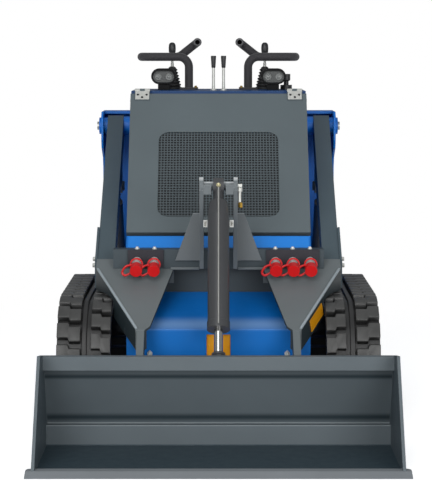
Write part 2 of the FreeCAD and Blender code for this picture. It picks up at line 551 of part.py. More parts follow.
def fork(word, side):
    """Tapering folded plate with a deep outer wall, and a leg whose foot carries the bucket's pin."""
    def plan(name, margin, inner_margin, low, tall):
        points = [(f"{ARM_OUT} - ({margin})", f"-arm_end - ({margin})"), (f"{ARM_OUT} - ({margin})", "-cross_front"),
                  (f"fork_tip_out - ({margin})", f"-fork_tip + ({margin})"),
                  (f"leg_in + ({inner_margin})", f"-fork_tip + ({margin})"),
                  (f"fork_tip_in + ({inner_margin})", f"-fork_neck + ({margin})"),
                  (f"fork_in + ({inner_margin})", "-cross_front"),
                  (f"fork_in + ({inner_margin})", f"-arm_end - ({margin})")]
        return prism(name, "XY", low, tall, [(beside(side, x), y) for x, y in points])

    def profile(name, drop, deep, tip_deep):
        start, wide = across(side, "fork_in", ARM_OUT)
        return prism(name, "YZ", start, wide, [
            ("-arm_end", f"{fork_height('-arm_end')} - {drop}"), ("-fork_tip", f"{fork_height('-fork_tip')} - {drop}"),
            ("-fork_tip", f"{fork_height('-fork_tip')} - {tip_deep}"),
            ("-arm_end", f"{fork_height('-arm_end')} - {deep}")])

    outer = common(f"fork_outer_{word}", plan(f"fork_plan_{word}", "0", "0", "0", "cross_high"),
                   profile(f"fork_profile_{word}", "0", "fork_deep", "fork_tip_deep"))
    inner = common(f"fork_inner_{word}", plan(f"fork_plan_in_{word}", "fork_sheet", "-fork_sheet", "0", "cross_high"),
                   profile(f"fork_profile_in_{word}", "fork_sheet", "2 * fork_deep", "2 * fork_deep"))
    start, wide = across(side, "0", "hull_half + moving_gap")
    over_cowl = prism(f"fork_over_cowl_{word}", "YZ", start, wide, [
        ("0", "0"), ("0", f"hull_high + shelf_front * {COWL_SLOPE} + cowl_clear"),
        ("-cowl_front - moving_gap", "cowl_bend + cowl_clear"), ("-cowl_front - moving_gap", "0")])
    start, wide = across(side, "track_in - moving_gap", "track_in + track_wide")
    over_track = block(f"fork_over_track_{word}", start, FRONT_AXLE, "0", wide, "track_radius", OVER_TRACK)
    round_track = cylinder(f"fork_round_track_{word}", "X", "track_radius + track_clear", wide, start, FRONT_AXLE,
                           "track_radius")
    shell = cut(f"fork_shell_{word}", outer, [inner, over_cowl, over_track, round_track])
    start, wide = across(side, "leg_in", "leg_in + leg_thick")
    leg = prism(f"fork_leg_{word}", "YZ", start, wide, [
        ("-fork_neck + leg_back", f"{fork_height('-fork_neck + leg_back')} - leg_sink"),
        ("-fork_tip", f"{fork_height('-fork_tip')} - leg_sink"), ("-leg_front", "leg_brow"),
        ("-leg_front", "bucket_pin_high"), ("-leg_front + 2 * leg_half", "bucket_pin_high"),
        ("-leg_front + 2 * leg_half + leg_calf_in", "leg_calf"),
        ("-fork_neck + leg_back", f"{fork_height('-fork_neck + leg_back')} - fork_deep")])
    boss = cylinder(f"fork_boss_{word}", "X", "leg_half", wide, start, "-bucket_pin_front", "bucket_pin_high")
    bore = cylinder(f"fork_bore_{word}", "X", "bucket_pin + plate_play", wide, start, "-bucket_pin_front",
                    "bucket_pin_high")
    node(cut(f"fork_{word}", fused(f"fork_solid_{word}", [shell, leg, boss]), [bore]), f"fork_{word}")


def bucket_pins():
    """Pins through the forks' feet and the ears of the bucket's carrier."""
    pins = []
    for word, side in SIDES:
        reach = "hitch_side_gap + hitch_lug + pin_proud"
        start, wide = across(side, f"leg_in - {reach}", f"leg_in + leg_thick + {reach}")
        pins.append(cylinder(f"bucket_pin_{word}", "X", "bucket_pin", wide, start, "-bucket_pin_front", "bucket_pin_high"))
    node(gathered("bucket_pins", pins), "bucket_pins")


# ---------------------------------------------------------------- tilt bracket and couplers

def tilt_bracket():
    """Two tall plates on the cross member, tied by the pin, with keeper tabs and gussets."""
    pieces = []
    for word, side in SIDES:
        start, wide = across(side, "bracket_in", "bracket_in + bracket_plate")
        pieces.append(prism(f"bracket_plate_{word}", "YZ", start, wide, [
            ("-arm_end", "cross_high"), ("-cross_front", "cross_high"), ("-cross_front", "fork_high + bracket_lift"),
            ("-cross_front - bracket_toe", "fork_high + bracket_lift"),
            ("-tilt_pin_front - bracket_boss + boss_blend", "tilt_pin_high - bracket_front_drop"),
            ("-tilt_pin_front + bracket_boss - boss_blend", "tilt_pin_high + bracket_back_rise"),
            ("-arm_end - bracket_heel_in", "cross_high + bracket_heel")]))
        pieces.append(cylinder(f"bracket_boss_{word}", "X", "bracket_boss", wide, start, "-tilt_pin_front", "tilt_pin_high"))
        reach = "bracket_in + bracket_plate"
        pieces.append(prism(f"bracket_gusset_{word}", "XZ", "-cross_front - gusset_thick", "gusset_thick", [
            (beside(side, reach), "gusset_low"), (beside(side, "gusset_reach"), "gusset_low"),
            (beside(side, "gusset_top_reach"), "gusset_high"), (beside(side, reach), "gusset_high")]))
        start, wide = across(side, "keeper_inner", "bracket_in")
        pieces.append(block(f"bracket_keeper_{word}", start, "-tilt_pin_front - tilt_pin - keeper_gap - keeper_thick",
                            "tilt_pin_high + keeper_rise - keeper_tall", wide, "keeper_thick", "keeper_tall"))
    pieces.append(cylinder("bracket_pin", "X", "tilt_pin", "2 * bracket_in", "-bracket_in", "-tilt_pin_front", "tilt_pin_high"))
    node(fused("tilt_bracket", pieces), "tilt_bracket")


def couplers():
    """Quick couplers in a row on plates in front of the cross member, each closed by a cap."""
    plates = []
    bodies = []
    caps = []
    for word, side, first, count in (("left", -1, "coupler_left", 2), ("right", 1, "coupler_right", 3)):
        start, wide = across(side, f"{first} - coupler_margin", f"{first} + {count - 1} * coupler_pitch + coupler_margin")
        plates.append(block(f"coupler_plate_{word}", start, "-cross_front - coupler_plate",
                            "cross_high - coupler_tall", wide, "coupler_plate", "coupler_tall"))
        for index in range(count):
            x = beside(side, f"({first} + {index} * coupler_pitch)")
            y = "-cross_front - coupler_plate"
            sink = "coupler_radius * tan(coupler_tilt)"
            body = leaning_bar(f"coupler_bar_{word}_{index}", "coupler_radius", f"coupler_length + {sink}", x,
                               f"{y} + {sink} * cos(coupler_tilt)", f"coupler_high + {sink} * sin(coupler_tilt)",
                               "90 + coupler_tilt")
            trim = block(f"coupler_trim_{word}_{index}", f"{x} - 2 * coupler_radius", y, "coupler_high - 3 * coupler_radius",
                         "4 * coupler_radius", "2 * coupler_length", "6 * coupler_radius")
            bodies.append(cut(f"coupler_{word}_{index}", body, [trim]))
            caps.append(leaning_bar(f"dust_cap_{word}_{index}", "cap_radius", "cap_length", x,
                                    f"{y} - coupler_length * cos(coupler_tilt)",
                                    f"coupler_high - coupler_length * sin(coupler_tilt)", "90 + coupler_tilt"))
    node(gathered("coupler_plates", plates), "coupler_plates")
    node(gathered("couplers", bodies), "couplers")
    node(gathered("dust_caps", caps), "dust_caps")


# ---------------------------------------------------------------- cylinders

def cylinder_pair(name, x, base, tip, barrel_radius, barrel_length, gland, rod_radius, rod_inset, base_eye, rod_eye,
                  pin, eye_wide, shoulder):
    """A barrel with an eye on a fixed pin, and a rod that slides in it and ends in an eye."""
    base_y, base_z = base
    tip_y, tip_z = tip
    run = f"(({tip_y}) - ({base_y}))"
    rise = f"(({tip_z}) - ({base_z}))"
    length = f"sqrt({run} * {run} + {rise} * {rise})"
    turn = math.degrees(math.atan2(-value(run), value(rise)))
    angle = f"atan2(-{run}; {rise})"
    gland_radius, gland_length = gland
    shoulder_start, shoulder_end = shoulder
    neck = f"{eye_wide} * 0.47"

    def lean(thing):
        return place(thing, 0, base_y, base_z, (1, 0, 0), angle)

    barrel = place(turned(f"{name}_tube", [
        (0, f"{base_eye} * 0.8"), (neck, f"{base_eye} * 0.8"), (neck, shoulder_start),
        (f"{barrel_radius} * 0.84", f"{shoulder_start} + ({shoulder_end} - {shoulder_start}) * 0.12"),
        (barrel_radius, shoulder_end), (barrel_radius, barrel_length), (0, barrel_length)]), x, 0, 0)
    cap = cylinder(f"{name}_gland", "Z", gland_radius, gland_length, x, 0, f"{barrel_length} - {gland_length}")
    eye = cylinder(f"{name}_eye", "X", base_eye, eye_wide, f"{x} - {eye_wide} / 2", 0, 0)
    bore = cylinder(f"{name}_eye_bore", "X", f"{pin} + bore_play", eye_wide, f"{x} - {eye_wide} / 2", 0, 0)
    way = cylinder(f"{name}_way", "Z", f"{rod_radius} + bore_play", barrel_length, x, 0, f"{base_eye} + way_floor")
    node(lean(cut(f"{name}_barrel", fused(f"{name}_barrel_solid", [barrel, cap, eye]), [bore, way])), f"{name}_barrel")
    bar = cylinder(f"{name}_bar", "Z", rod_radius, f"{length} - {rod_inset}", x, 0, rod_inset)
    tip_eye = cylinder(f"{name}_rod_eye", "X", rod_eye, eye_wide, f"{x} - {eye_wide} / 2", 0, length)
    node(lean(fused(f"{name}_rod", [bar, tip_eye])), f"{name}_rod")
    return turn


def lift_cylinders():
    """One lift cylinder on each side, between the tower's foot and the arm's lugs."""
    tip_y = "(pivot_back - lift_lug_along * cos(arm_slope) + lift_lug_drop * sin(arm_slope))"
    tip_z = "(pivot_high - lift_lug_along * sin(arm_slope) - lift_lug_drop * cos(arm_slope))"
    for word, side in SIDES:
        x = beside(side, "(arm_in + arm_wide / 2)")
        cylinder_pair(f"lift_{word}", x, ("lift_base_back", "lift_base_high"), (tip_y, tip_z),
                      "lift_barrel_radius", "lift_barrel_length", ("lift_barrel_radius", "lift_gland_length"),
                      "lift_rod_radius", "lift_rod_inset", "lift_eye_radius", "lift_eye_radius", "lift_pin",
                      "lift_eye_wide", ("lift_shoulder", "lift_shoulder_end"))


def tilt_cylinder():
    """The single cylinder in the middle, from the tall bracket to the bucket's carrier."""
    cylinder_pair("tilt", "0", ("-tilt_pin_front", "tilt_pin_high"), ("-rod_pin_front", "rod_pin_high"),
                  "tilt_barrel_radius", "tilt_barrel_length", ("tilt_gland_radius", "tilt_gland_length"),
                  "tilt_rod_radius", "tilt_rod_inset", "tilt_eye_radius", "rod_eye_radius", "tilt_pin",
                  "tilt_eye_wide", ("tilt_shoulder", "tilt_shoulder_end"))


# ---------------------------------------------------------------- bucket

WALL_FOOT_Y = "-(floor_rear - ledge_deep)"


def in_wall(thing):
    """Put a piece drawn upright behind the bucket's wall onto the wall's lean."""
    return place(carried(thing), 0, WALL_FOOT_Y, "step_high", (1, 0, 0), "wall_lean")


def on_wall(along, outward):
    """A point on the bucket's leaning wall: a distance up its inside, and a distance behind it."""
    return (f"({WALL_FOOT_Y} - ({along}) * sin(wall_lean) + ({outward}) * cos(wall_lean))",
            f"(step_high + ({along}) * cos(wall_lean) + ({outward}) * sin(wall_lean))")


def bucket():
    """Folded shell of floor, step, ledge, leaning wall and stiff lip, closed by two side plates."""
    floor_front = "-(front_reach - edge_deep)"
    under_ledge = "(step_high - bucket_sheet)"
    corner_y = f"({WALL_FOOT_Y} + bucket_sheet * cos(wall_lean) + bucket_sheet * (1 + sin(wall_lean)) * tan(wall_lean))"
    lip_back = on_wall("wall_tall + lip_tall", "bucket_sheet")
    lip_front = on_wall("wall_tall + lip_tall", "-lip_deep")
    lip_foot = on_wall("wall_tall", 0)
    rear = [("-floor_rear + bucket_sheet", 0), ("-floor_rear + bucket_sheet", under_ledge), (corner_y, under_ledge),
            lip_back]
    inside = [(lip_front[0], lip_back[1]), (lip_front[0], lip_foot[1]), lip_foot, (WALL_FOOT_Y, "step_high"),
              ("-floor_rear", "step_high"), ("-floor_rear", "bucket_sheet"), (floor_front, "bucket_sheet")]
    band = prism("bucket_band", "YZ", "-(bucket_half - bucket_side)", "2 * (bucket_half - bucket_side)",
                 [(floor_front, 0)] + rear + inside)
    sides = []
    for word, side in SIDES:
        start, wide = across(side, "bucket_half - bucket_side", "bucket_half")
        sides.append(prism(f"bucket_side_{word}", "YZ", start, wide, [
            ("-front_reach + edge_bevel", "edge_thick"), (floor_front, "edge_thick"), (floor_front, 0)] + rear
            + [("-side_top", "side_high")]))
    node(fused("bucket_shell", [band] + sides), "bucket_shell")
    blade = prism("cutting_blade", "YZ", "-(bucket_half + edge_ear)", "2 * (bucket_half + edge_ear)", [
        ("-front_reach", 0), (floor_front, 0), (floor_front, "edge_thick"),
        ("-front_reach + edge_bevel", "edge_thick"), ("-front_reach", "edge_nose")])
    corners = []
    for word, side in SIDES:
        start, wide = across(side, "bucket_half", "bucket_half + edge_ear")
        square = block(f"edge_square_{word}", start, f"{floor_front} - edge_ear", 0, wide, "edge_ear", "edge_thick")
        round_off = cylinder(f"edge_round_{word}", "Z", "edge_ear", "edge_thick", beside(side, "bucket_half"),
                             f"{floor_front} - edge_ear", 0)
        corners.append(cut(f"edge_corner_{word}", square, [round_off]))
    node(cut("cutting_edge", blade, corners), "cutting_edge")


def hitch():
    """Carrier plate behind the bucket's wall, with ears for the forks' pins and for the rod's eye."""
    plate = in_wall(block("hitch_plate", "-hitch_half", "bucket_sheet", "hitch_low", "2 * hitch_half", "hitch_thick",
                          "hitch_tall"))
    back = "(bucket_sheet + hitch_thick / 2)"

    def on_plate(up):
        return (f"({WALL_FOOT_Y} + {back} * cos(wall_lean) - ({up}) * sin(wall_lean))",
                f"(step_high + {back} * sin(wall_lean) + ({up}) * cos(wall_lean))")

    pieces = [plate]
    bores = []
    for word, side in SIDES:
        for index, inner in (("a", "leg_in - hitch_side_gap - hitch_lug"), ("b", "leg_in + leg_thick + hitch_side_gap")):
            start, wide = across(side, inner, f"{inner} + hitch_lug")
            pieces.append(prism(f"hitch_ear_{index}_{word}", "YZ", start, wide, [
                on_plate("hitch_low + ear_low"), ("-bucket_pin_front", "bucket_pin_high - hitch_boss"),
                ("-bucket_pin_front", "bucket_pin_high + hitch_boss"), on_plate("hitch_low + ear_tall")]))
            pieces.append(cylinder(f"hitch_ear_round_{index}_{word}", "X", "hitch_boss", wide, start,
                                   "-bucket_pin_front", "bucket_pin_high"))
            bores.append(cylinder(f"hitch_bore_{index}_{word}", "X", "bucket_pin + bore_play", wide, start,
                                  "-bucket_pin_front", "bucket_pin_high"))
        start, wide = across(side, "tilt_eye_wide / 2 + moving_gap", "tilt_eye_wide / 2 + moving_gap + hitch_lug")
        pieces.append(prism(f"hitch_tilt_ear_{word}", "YZ", start, wide, [
            on_plate("hitch_low + hitch_tall - tilt_ear_tall"), ("-rod_pin_front", "rod_pin_high - rod_eye_radius"),
            ("-rod_pin_front", "rod_pin_high + rod_eye_radius"), on_plate("hitch_low + hitch_tall - tilt_ear_sink")]))
        pieces.append(cylinder(f"hitch_tilt_round_{word}", "X", "rod_eye_radius", wide, start, "-rod_pin_front",
                               "rod_pin_high"))
        outside = "tilt_eye_wide / 2 + moving_gap + hitch_lug"
        start, wide = across(side, outside, f"{outside} + pin_head")
        pieces.append(cylinder(f"hitch_pin_end_{word}", "X", "tilt_pin", wide, start, "-rod_pin_front", "rod_pin_high"))
    node(cut("bucket_carrier", fused("hitch_solid", pieces), bores), "bucket_carrier")


# ---------------------------------------------------------------- tracks and what carries them

FRONT_AXLE = "(wheel_middle - wheel_base / 2)"
REAR_AXLE = "(wheel_middle + wheel_base / 2)"
BELT_RADIUS = "(track_radius - lug_tall)"
WHEEL_RADIUS = "(track_radius - lug_tall - belt_thick - wheel_gap)"


def loop_outline(radius):
    """Straight runs above and below, with a half circle round each axle, as one closed wire."""
    front, rear, high = value(FRONT_AXLE), value(REAR_AXLE), value("track_radius")
    top_front = FreeCAD.Vector(0, front, high + radius)
    top_rear = FreeCAD.Vector(0, rear, high + radius)
    low_front = FreeCAD.Vector(0, front, high - radius)
    low_rear = FreeCAD.Vector(0, rear, high - radius)
    rear_arc = Part.Arc(top_rear, FreeCAD.Vector(0, rear + radius, high), low_rear)
    front_arc = Part.Arc(low_front, FreeCAD.Vector(0, front - radius, high), top_front)
    edges = [Part.LineSegment(top_front, top_rear), rear_arc, Part.LineSegment(low_rear, low_front), front_arc]
    return Part.Wire([edge.toShape() for edge in edges])


def on_loop(distance, radius):
    """Point and outward direction at a distance along the loop of the given radius."""
    front, rear, high = value(FRONT_AXLE), value(REAR_AXLE), value("track_radius")
    straight = rear - front
    bend = math.pi * radius
    distance %= 2 * (straight + bend)
    if distance < straight:
        return front + distance, high + radius, 90.0
    if distance < straight + bend:
        turn = 90.0 - math.degrees((distance - straight) / radius)
        return rear + radius * math.cos(math.radians(turn)), high + radius * math.sin(math.radians(turn)), turn
    if distance < 2 * straight + bend:
        return rear - (distance - straight - bend), high - radius, -90.0
    turn = -90.0 - math.degrees((distance - 2 * straight - bend) / radius)
    return front + radius * math.cos(math.radians(turn)), high + radius * math.sin(math.radians(turn)), turn


def lug_block(start, wide, distance):
    """One tread lug, tapered towards its tip, standing on the belt."""
    base, tip, tall = value("lug_base") / 2, value("lug_tip") / 2, value("lug_tall")
    root = value("lug_root")
    y, z, turn = on_loop(distance, value(BELT_RADIUS))
    if abs(turn) != 90:
        tall = math.sqrt(value("track_radius") ** 2 - tip ** 2) - value(BELT_RADIUS)
    corners = [(-root, -base), (0, -base), (tall, -tip), (tall, tip), (0, base), (-root, base)]
    out = (math.cos(math.radians(turn)), math.sin(math.radians(turn)))
    along = (-out[1], out[0])
    points = [FreeCAD.Vector(start, y + a * out[0] + b * along[0], z + a * out[1] + b * along[1]) for a, b in corners]
    face = Part.Face(Part.makePolygon(points + points[:1]))
    return face.extrude(FreeCAD.Vector(wide, 0, 0))


def track(word, side):
    """Rubber loop with a smooth belt and two rows of staggered lugs."""
    start = value("track_in") if side > 0 else -value("track_in + track_wide")
    wide = value("track_wide")
    outer = Part.Face(loop_outline(value(BELT_RADIUS)))
    inner = Part.Face(loop_outline(value(f"{BELT_RADIUS} - belt_thick")))
    belt = outer.cut(inner).extrude(FreeCAD.Vector(wide, 0, 0))
    belt.translate(FreeCAD.Vector(start, 0, 0))
    loop_length = 2 * value("wheel_base") + 2 * math.pi * value(BELT_RADIUS)
    count = round(loop_length / value("lug_pitch"))
    pitch = loop_length / count
    rows = (("track_wide - outer_row", "outer_row", 0.25), ("0", "inner_row", 0.75))
    lugs = []
    for offset, width, phase in rows:
        low, row = value(f"track_in + {offset}"), value(width)
        row_start = low if side > 0 else -(low + row)
        lugs += [lug_block(row_start, row, (index + phase) * pitch) for index in range(count)]
    feature = DOC.addObject("Part::Feature", f"track_{word}")
    feature.Shape = belt.fuse(lugs).removeSplitter()
    feature.Placement = FreeCAD.Placement()
    node(feature, f"track_{word}")


def undercarriage(word, side):
    """Track frame of two plates and a web, with struts to the hull, idler, sprocket and rollers."""
    beam_out = "(beam_in + beam_wide)"
    pieces = []
    for index, inner, outer in (("inner", "beam_in", "beam_in + beam_plate"),
                                ("outer", f"{beam_out} - beam_plate", beam_out)):
        start, wide = across(side, inner, outer)
        pieces.append(prism(f"frame_plate_{index}_{word}", "YZ", start, wide, [
            (f"{FRONT_AXLE} - fork_half", "track_radius - fork_half"), ("-frame_front", "track_radius - fork_half"),
            ("-frame_front", "frame_low"), ("frame_rear", "frame_low"), ("frame_rear", "track_radius + fork_half"),
            (f"{FRONT_AXLE} - fork_half", "track_radius + fork_half")]))
    start, wide = across(side, "beam_in + beam_plate", f"{beam_out} - beam_plate")
    pieces.append(block(f"frame_web_{word}", start, "wheel_middle - web_half", "beam_low", wide,
                        "2 * web_half", "beam_tall"))
    for index, sign in (("front", -1), ("rear", 1)):
        start, wide = across(side, "hull_half", "beam_in")
        pieces.append(block(f"strut_{index}_{word}", start, f"wheel_middle + {sign} * strut_offset - strut_wide / 2",
                            "beam_low + strut_rise", wide, "strut_wide", "strut_tall"))
    node(fused(f"track_frame_{word}", pieces), f"track_frame_{word}")
    middle = "(track_in + track_wide / 2)"
    start, wide = across(side, f"{middle} - idler_wide / 2", f"{middle} + idler_wide / 2")
    wheel = cylinder(f"idler_wheel_{word}", "X", WHEEL_RADIUS, wide, start, FRONT_AXLE, "track_radius")
    start, wide = across(side, "beam_in + beam_plate", f"{beam_out} - beam_plate")
    axle = cylinder(f"idler_axle_{word}", "X", "axle_radius", wide, start, FRONT_AXLE, "track_radius")
    node(fused(f"idler_{word}", [wheel, axle]), f"idler_{word}")
    start, wide = across(side, f"{middle} - sprocket_wide / 2", f"{middle} + sprocket_wide / 2")
    wheel = cylinder(f"sprocket_wheel_{word}", "X", WHEEL_RADIUS, wide, start, REAR_AXLE, "track_radius")
    start, wide = across(side, "hull_half", f"{middle} + sprocket_wide / 2 + hub_reach")
    hub = cylinder(f"sprocket_hub_{word}", "X", "2 * axle_radius", wide, start, REAR_AXLE, "track_radius")
    node(fused(f"sprocket_{word}", [wheel, hub]), f"sprocket_{word}")
    rollers = []
    low = "(lug_tall + belt_thick + wheel_gap + roller_radius)"
    for index in (-1, 0, 1):
        y = f"wheel_middle + {index} * roller_pitch"
        start, wide = across(side, "beam_in + beam_plate + roller_gap", f"{beam_out} - beam_plate - roller_gap")
        wheel = cylinder(f"roller_wheel_{index + 2}_{word}", "X", "roller_radius", wide, start, y, low)
        start, wide = across(side, "beam_in + beam_plate", f"{beam_out} - beam_plate")
        axle = cylinder(f"roller_axle_{index + 2}_{word}", "X", "roller_axle", wide, start, y, low)
        rollers.append(fused(f"roller_{index + 2}_{word}", [wheel, axle]))
    node(gathered(f"rollers_{word}", rollers), f"rollers_{word}")


# ---------------------------------------------------------------- controls on the deck

def bent_tube(points, radius, bend):
    """Round tube along straight runs joined by tangent arcs."""
    vectors = [FreeCAD.Vector(*point) for point in points]
    edges = []
    last = vectors[0]
    for before, corner, after in zip(vectors, vectors[1:], vectors[2:]):
        inward = (before - corner).normalize()
        outward = (after - corner).normalize()
        half = inward.getAngle(outward) / 2
        trim = min(bend / math.tan(half), 0.48 * min((before - corner).Length, (after - corner).Length))
        first = corner + inward * trim
        final = corner + outward * trim
        reach = trim * math.tan(half)
        centre = corner + (inward + outward).normalize() * (trim / math.cos(half))
        middle = centre + (corner - centre).normalize() * reach
        edges.append(Part.LineSegment(last, first).toShape())
        edges.append(Part.Arc(first, middle, final).toShape())
        last = final
    edges.append(Part.LineSegment(last, vectors[-1]).toShape())
    path = Part.Wire(edges)
    ring = Part.Wire(Part.makeCircle(radius, vectors[0], vectors[1] - vectors[0]))
    return path.makePipeShell([ring], True, False)


def hand_rail(word, side):
    """Foam-covered rail that loops round the stick, open at its inner end, on a foot plate."""
    foot = value(f"{DECK_TOP} + foot_thick")
    across_foot, foot_back = value("rail_foot_across"), value("rail_foot_back")
    high = value(f"{DECK_TOP} + rail_over_deck")
    out, back = value("rail_out - rail_tube"), value("rail_back")
    end_across, end_back = value("rail_end_across"), value("rail_end_back")
    rise = value(f"{DECK_TOP} + rail_end_over_deck")
    points = [(across_foot, foot_back, foot), (across_foot, foot_back, high), (out, foot_back, high), (out, back, high),
              (across_foot + value("rail_turn"), back, high), (end_across, back, rise), (end_across, end_back, rise)]
    feature = DOC.addObject("Part::Feature", f"hand_rail_{word}")
    tube = bent_tube([(side * x, y, z) for x, y, z in points], value("rail_tube"), value("rail_bend"))
    plate = value("foot_plate")
    base = Part.makeBox(plate, plate, value("foot_thick"),
                        FreeCAD.Vector(side * across_foot - plate / 2, foot_back - plate / 2, value(DECK_TOP)))
    feature.Shape = tube.fuse(base)
    feature.Placement = FreeCAD.Placement()
    node(feature, f"hand_rail_{word}")


def joystick(word, side):
    """Stick with a ribbed rubber boot, a collar and a rounded knob."""
    body = turned(f"joystick_{word}", [
        (0, 0), ("boot_radius", 0), ("boot_radius", "boot_foot"), ("boot_radius * 0.72", "boot_tall - boot_lip"),
        ("boot_radius * 0.5", "boot_tall"), ("shaft_radius", "boot_tall + boot_neck"),
        ("shaft_radius", "stick_tall - knob_tall"),
        ("knob_radius * 0.75", "stick_tall - knob_tall"), ("knob_radius", "stick_tall - knob_tall * 0.6"),
        ("knob_radius", "stick_tall - knob_round"), ("knob_radius * 0.6", "stick_tall"), (0, "stick_tall")])
    node(place(body, beside(side, "stick_across"), "stick_back", DECK_TOP), f"joystick_{word}")


def lamp(word, side):
    """Oval work lamp on a short foot."""
    middle = beside(side, "lamp_across")
    lamp_high = f"({DECK_TOP} + lamp_over_deck)"
    half = "(lamp_wide / 2 - lamp_half_tall)"
    pieces = [block(f"lamp_middle_{word}", f"{middle} - {half}", "lamp_back", f"{lamp_high} - lamp_half_tall",
                    f"2 * {half}", "lamp_deep", "2 * lamp_half_tall")]
    for index, sign in (("a", "-"), ("b", "+")):
        pieces.append(cylinder(f"lamp_end_{index}_{word}", "Y", "lamp_half_tall", "lamp_deep",
                               f"{middle} {sign} {half}", "lamp_back", lamp_high))
    pieces.append(block(f"lamp_foot_{word}", f"{middle} - lamp_foot / 2", "lamp_back + lamp_deep / 2 - lamp_foot / 2",
                        DECK_TOP, "lamp_foot", "lamp_foot", "lamp_over_deck"))
    node(fused(f"lamp_{word}", pieces), f"lamp_{word}")


def levers_and_key():
    """Two upright levers with grips, and a knob switch at the deck's right-hand edge."""
    levers = []
    for word, side in SIDES:
        body = turned(f"lever_{word}", [
            (0, 0), ("lever_shaft * 2", 0), ("lever_shaft * 2", "lever_foot"), ("lever_shaft", "lever_foot"),
            ("lever_shaft", "lever_tall - grip_tall"), ("grip_radius * 0.75", "lever_tall - grip_tall"),
            ("grip_radius", "lever_tall - grip_edge"), ("grip_radius * 0.8", "lever_tall"), (0, "lever_tall")])
        levers.append(place(body, beside(side, "lever_across"), "lever_back", DECK_TOP))
    node(gathered("control_levers", levers), "control_levers")
    body = turned("key_switch", [
        (0, 0), ("key_radius * 1.4", 0), ("key_radius * 1.4", "key_collar"), ("key_radius * 0.6", "key_collar"),
        ("key_radius * 0.6", "key_tall - key_neck"), ("key_radius", "key_tall - key_edge"), ("key_radius", "key_tall"),
        (0, "key_tall")])
    node(place(body, "key_across", "key_back", DECK_TOP), "key_switch")


# ---------------------------------------------------------------- the whole machine

hull()
front_cowl()
shelf_cowl()
side_panels()
deck_and_rear()
engine()
platform()
hood()
hood_hinges()
grille()
for side_word, side_sign in SIDES:
    tower(side_word, side_sign)
    arm(side_word, side_sign)
    fork(side_word, side_sign)
    track(side_word, side_sign)
    undercarriage(side_word, side_sign)
    hand_rail(side_word, side_sign)
    joystick(side_word, side_sign)
    lamp(side_word, side_sign)
boom_pins()
cross_member()
bucket_pins()
tilt_bracket()
couplers()
lift_cylinders()
tilt_cylinder()
bucket()
hitch()
levers_and_key()

DOC.recompute()
failed = [thing.Name for thing in DOC.Objects if "Invalid" in thing.State or "Error" in thing.State]
if failed:
    raise RuntimeError(f"objects that could not be made: {failed}")
for piece in NODES:
    if piece.Shape.isNull() or not piece.Shape.isValid():
        raise RuntimeError(f"{piece.Label} has no valid shape")

os.makedirs("parts", exist_ok=True)
for piece in NODES:
    piece.Shape.exportStep(f"parts/{piece.Label}.step")
    box = piece.Shape.BoundBox
    print(f"{piece.Label:20s} solids {len(piece.Shape.Solids)}  volume {piece.Shape.Volume / 1e6:9.3f}  "
          f"X {box.XMin:8.1f} {box.XMax:8.1f}  Y {box.YMin:8.1f} {box.YMax:8.1f}  Z {box.ZMin:8.1f} {box.ZMax:8.1f}")
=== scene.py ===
import math

import bpy
from mathutils import Matrix, Vector


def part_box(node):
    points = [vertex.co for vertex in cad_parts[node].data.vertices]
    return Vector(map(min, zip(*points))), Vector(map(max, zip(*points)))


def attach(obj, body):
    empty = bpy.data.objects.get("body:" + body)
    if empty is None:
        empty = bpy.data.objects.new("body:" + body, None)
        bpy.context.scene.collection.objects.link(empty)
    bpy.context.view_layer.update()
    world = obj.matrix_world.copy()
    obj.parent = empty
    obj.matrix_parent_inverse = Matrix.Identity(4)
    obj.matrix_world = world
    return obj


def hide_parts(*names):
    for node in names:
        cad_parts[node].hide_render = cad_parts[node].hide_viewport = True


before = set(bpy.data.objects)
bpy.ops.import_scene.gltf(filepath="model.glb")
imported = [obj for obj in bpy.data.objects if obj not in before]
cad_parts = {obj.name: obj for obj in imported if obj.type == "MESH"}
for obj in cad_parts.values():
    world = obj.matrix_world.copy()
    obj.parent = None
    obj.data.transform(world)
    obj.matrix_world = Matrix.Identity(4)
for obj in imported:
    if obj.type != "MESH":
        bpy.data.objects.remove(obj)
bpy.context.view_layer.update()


# ------------------------------------------------------------------ hull and cowls
# A welded steel tub with two bent cowl sheets in front, all powder coated blue. The coat is
# satin, with a faint orange peel, and it is rubbed paler along its edges.

def linear(code):
    """An sRGB colour written as '#rrggbb', as the linear values that a shader takes."""
    parts = [int(code[i:i + 2], 16) / 255 for i in (1, 3, 5)]
    return (*[v / 12.92 if v <= 0.04045 else ((v + 0.055) / 1.055) ** 2.4 for v in parts], 1.0)


def scaled(colour, share, lift=0.0):
    """A linear colour made lighter or darker by a share."""
    return (*[min(1.0, part * share + lift) for part in colour[:3]], 1.0)


def add(tree, kind, inputs=None, **settings):
    """One shader node with its settings; an input is a value, or a socket to link from."""
    made = tree.nodes.new(kind)
    for name, setting in settings.items():
        setattr(made, name, setting)
    for key, given in (inputs or {}).items():
        if isinstance(given, bpy.types.NodeSocket):
            tree.links.new(given, made.inputs[key])
        else:
            made.inputs[key].default_value = given
    return made


def new_material(name):
    """An empty material, its nodes, and the object's own coordinates among them."""
    made = bpy.data.materials.new(name)
    made.use_nodes = True
    tree = made.node_tree
    tree.nodes.clear()
    return made, tree, add(tree, "ShaderNodeTexCoord").outputs["Object"]


def close_material(tree, height, strength, depth, normal, looks):
    """The skin itself, embossed by a height and wired to the output."""
    skin = add(tree, "ShaderNodeBump", {"Strength": strength, "Distance": depth, "Height": height,
                                        "Normal": normal})
    shader = add(tree, "ShaderNodeBsdfPrincipled", {**looks, "Normal": skin.outputs["Normal"]})
    add(tree, "ShaderNodeOutputMaterial", {"Surface": shader.outputs[0]})


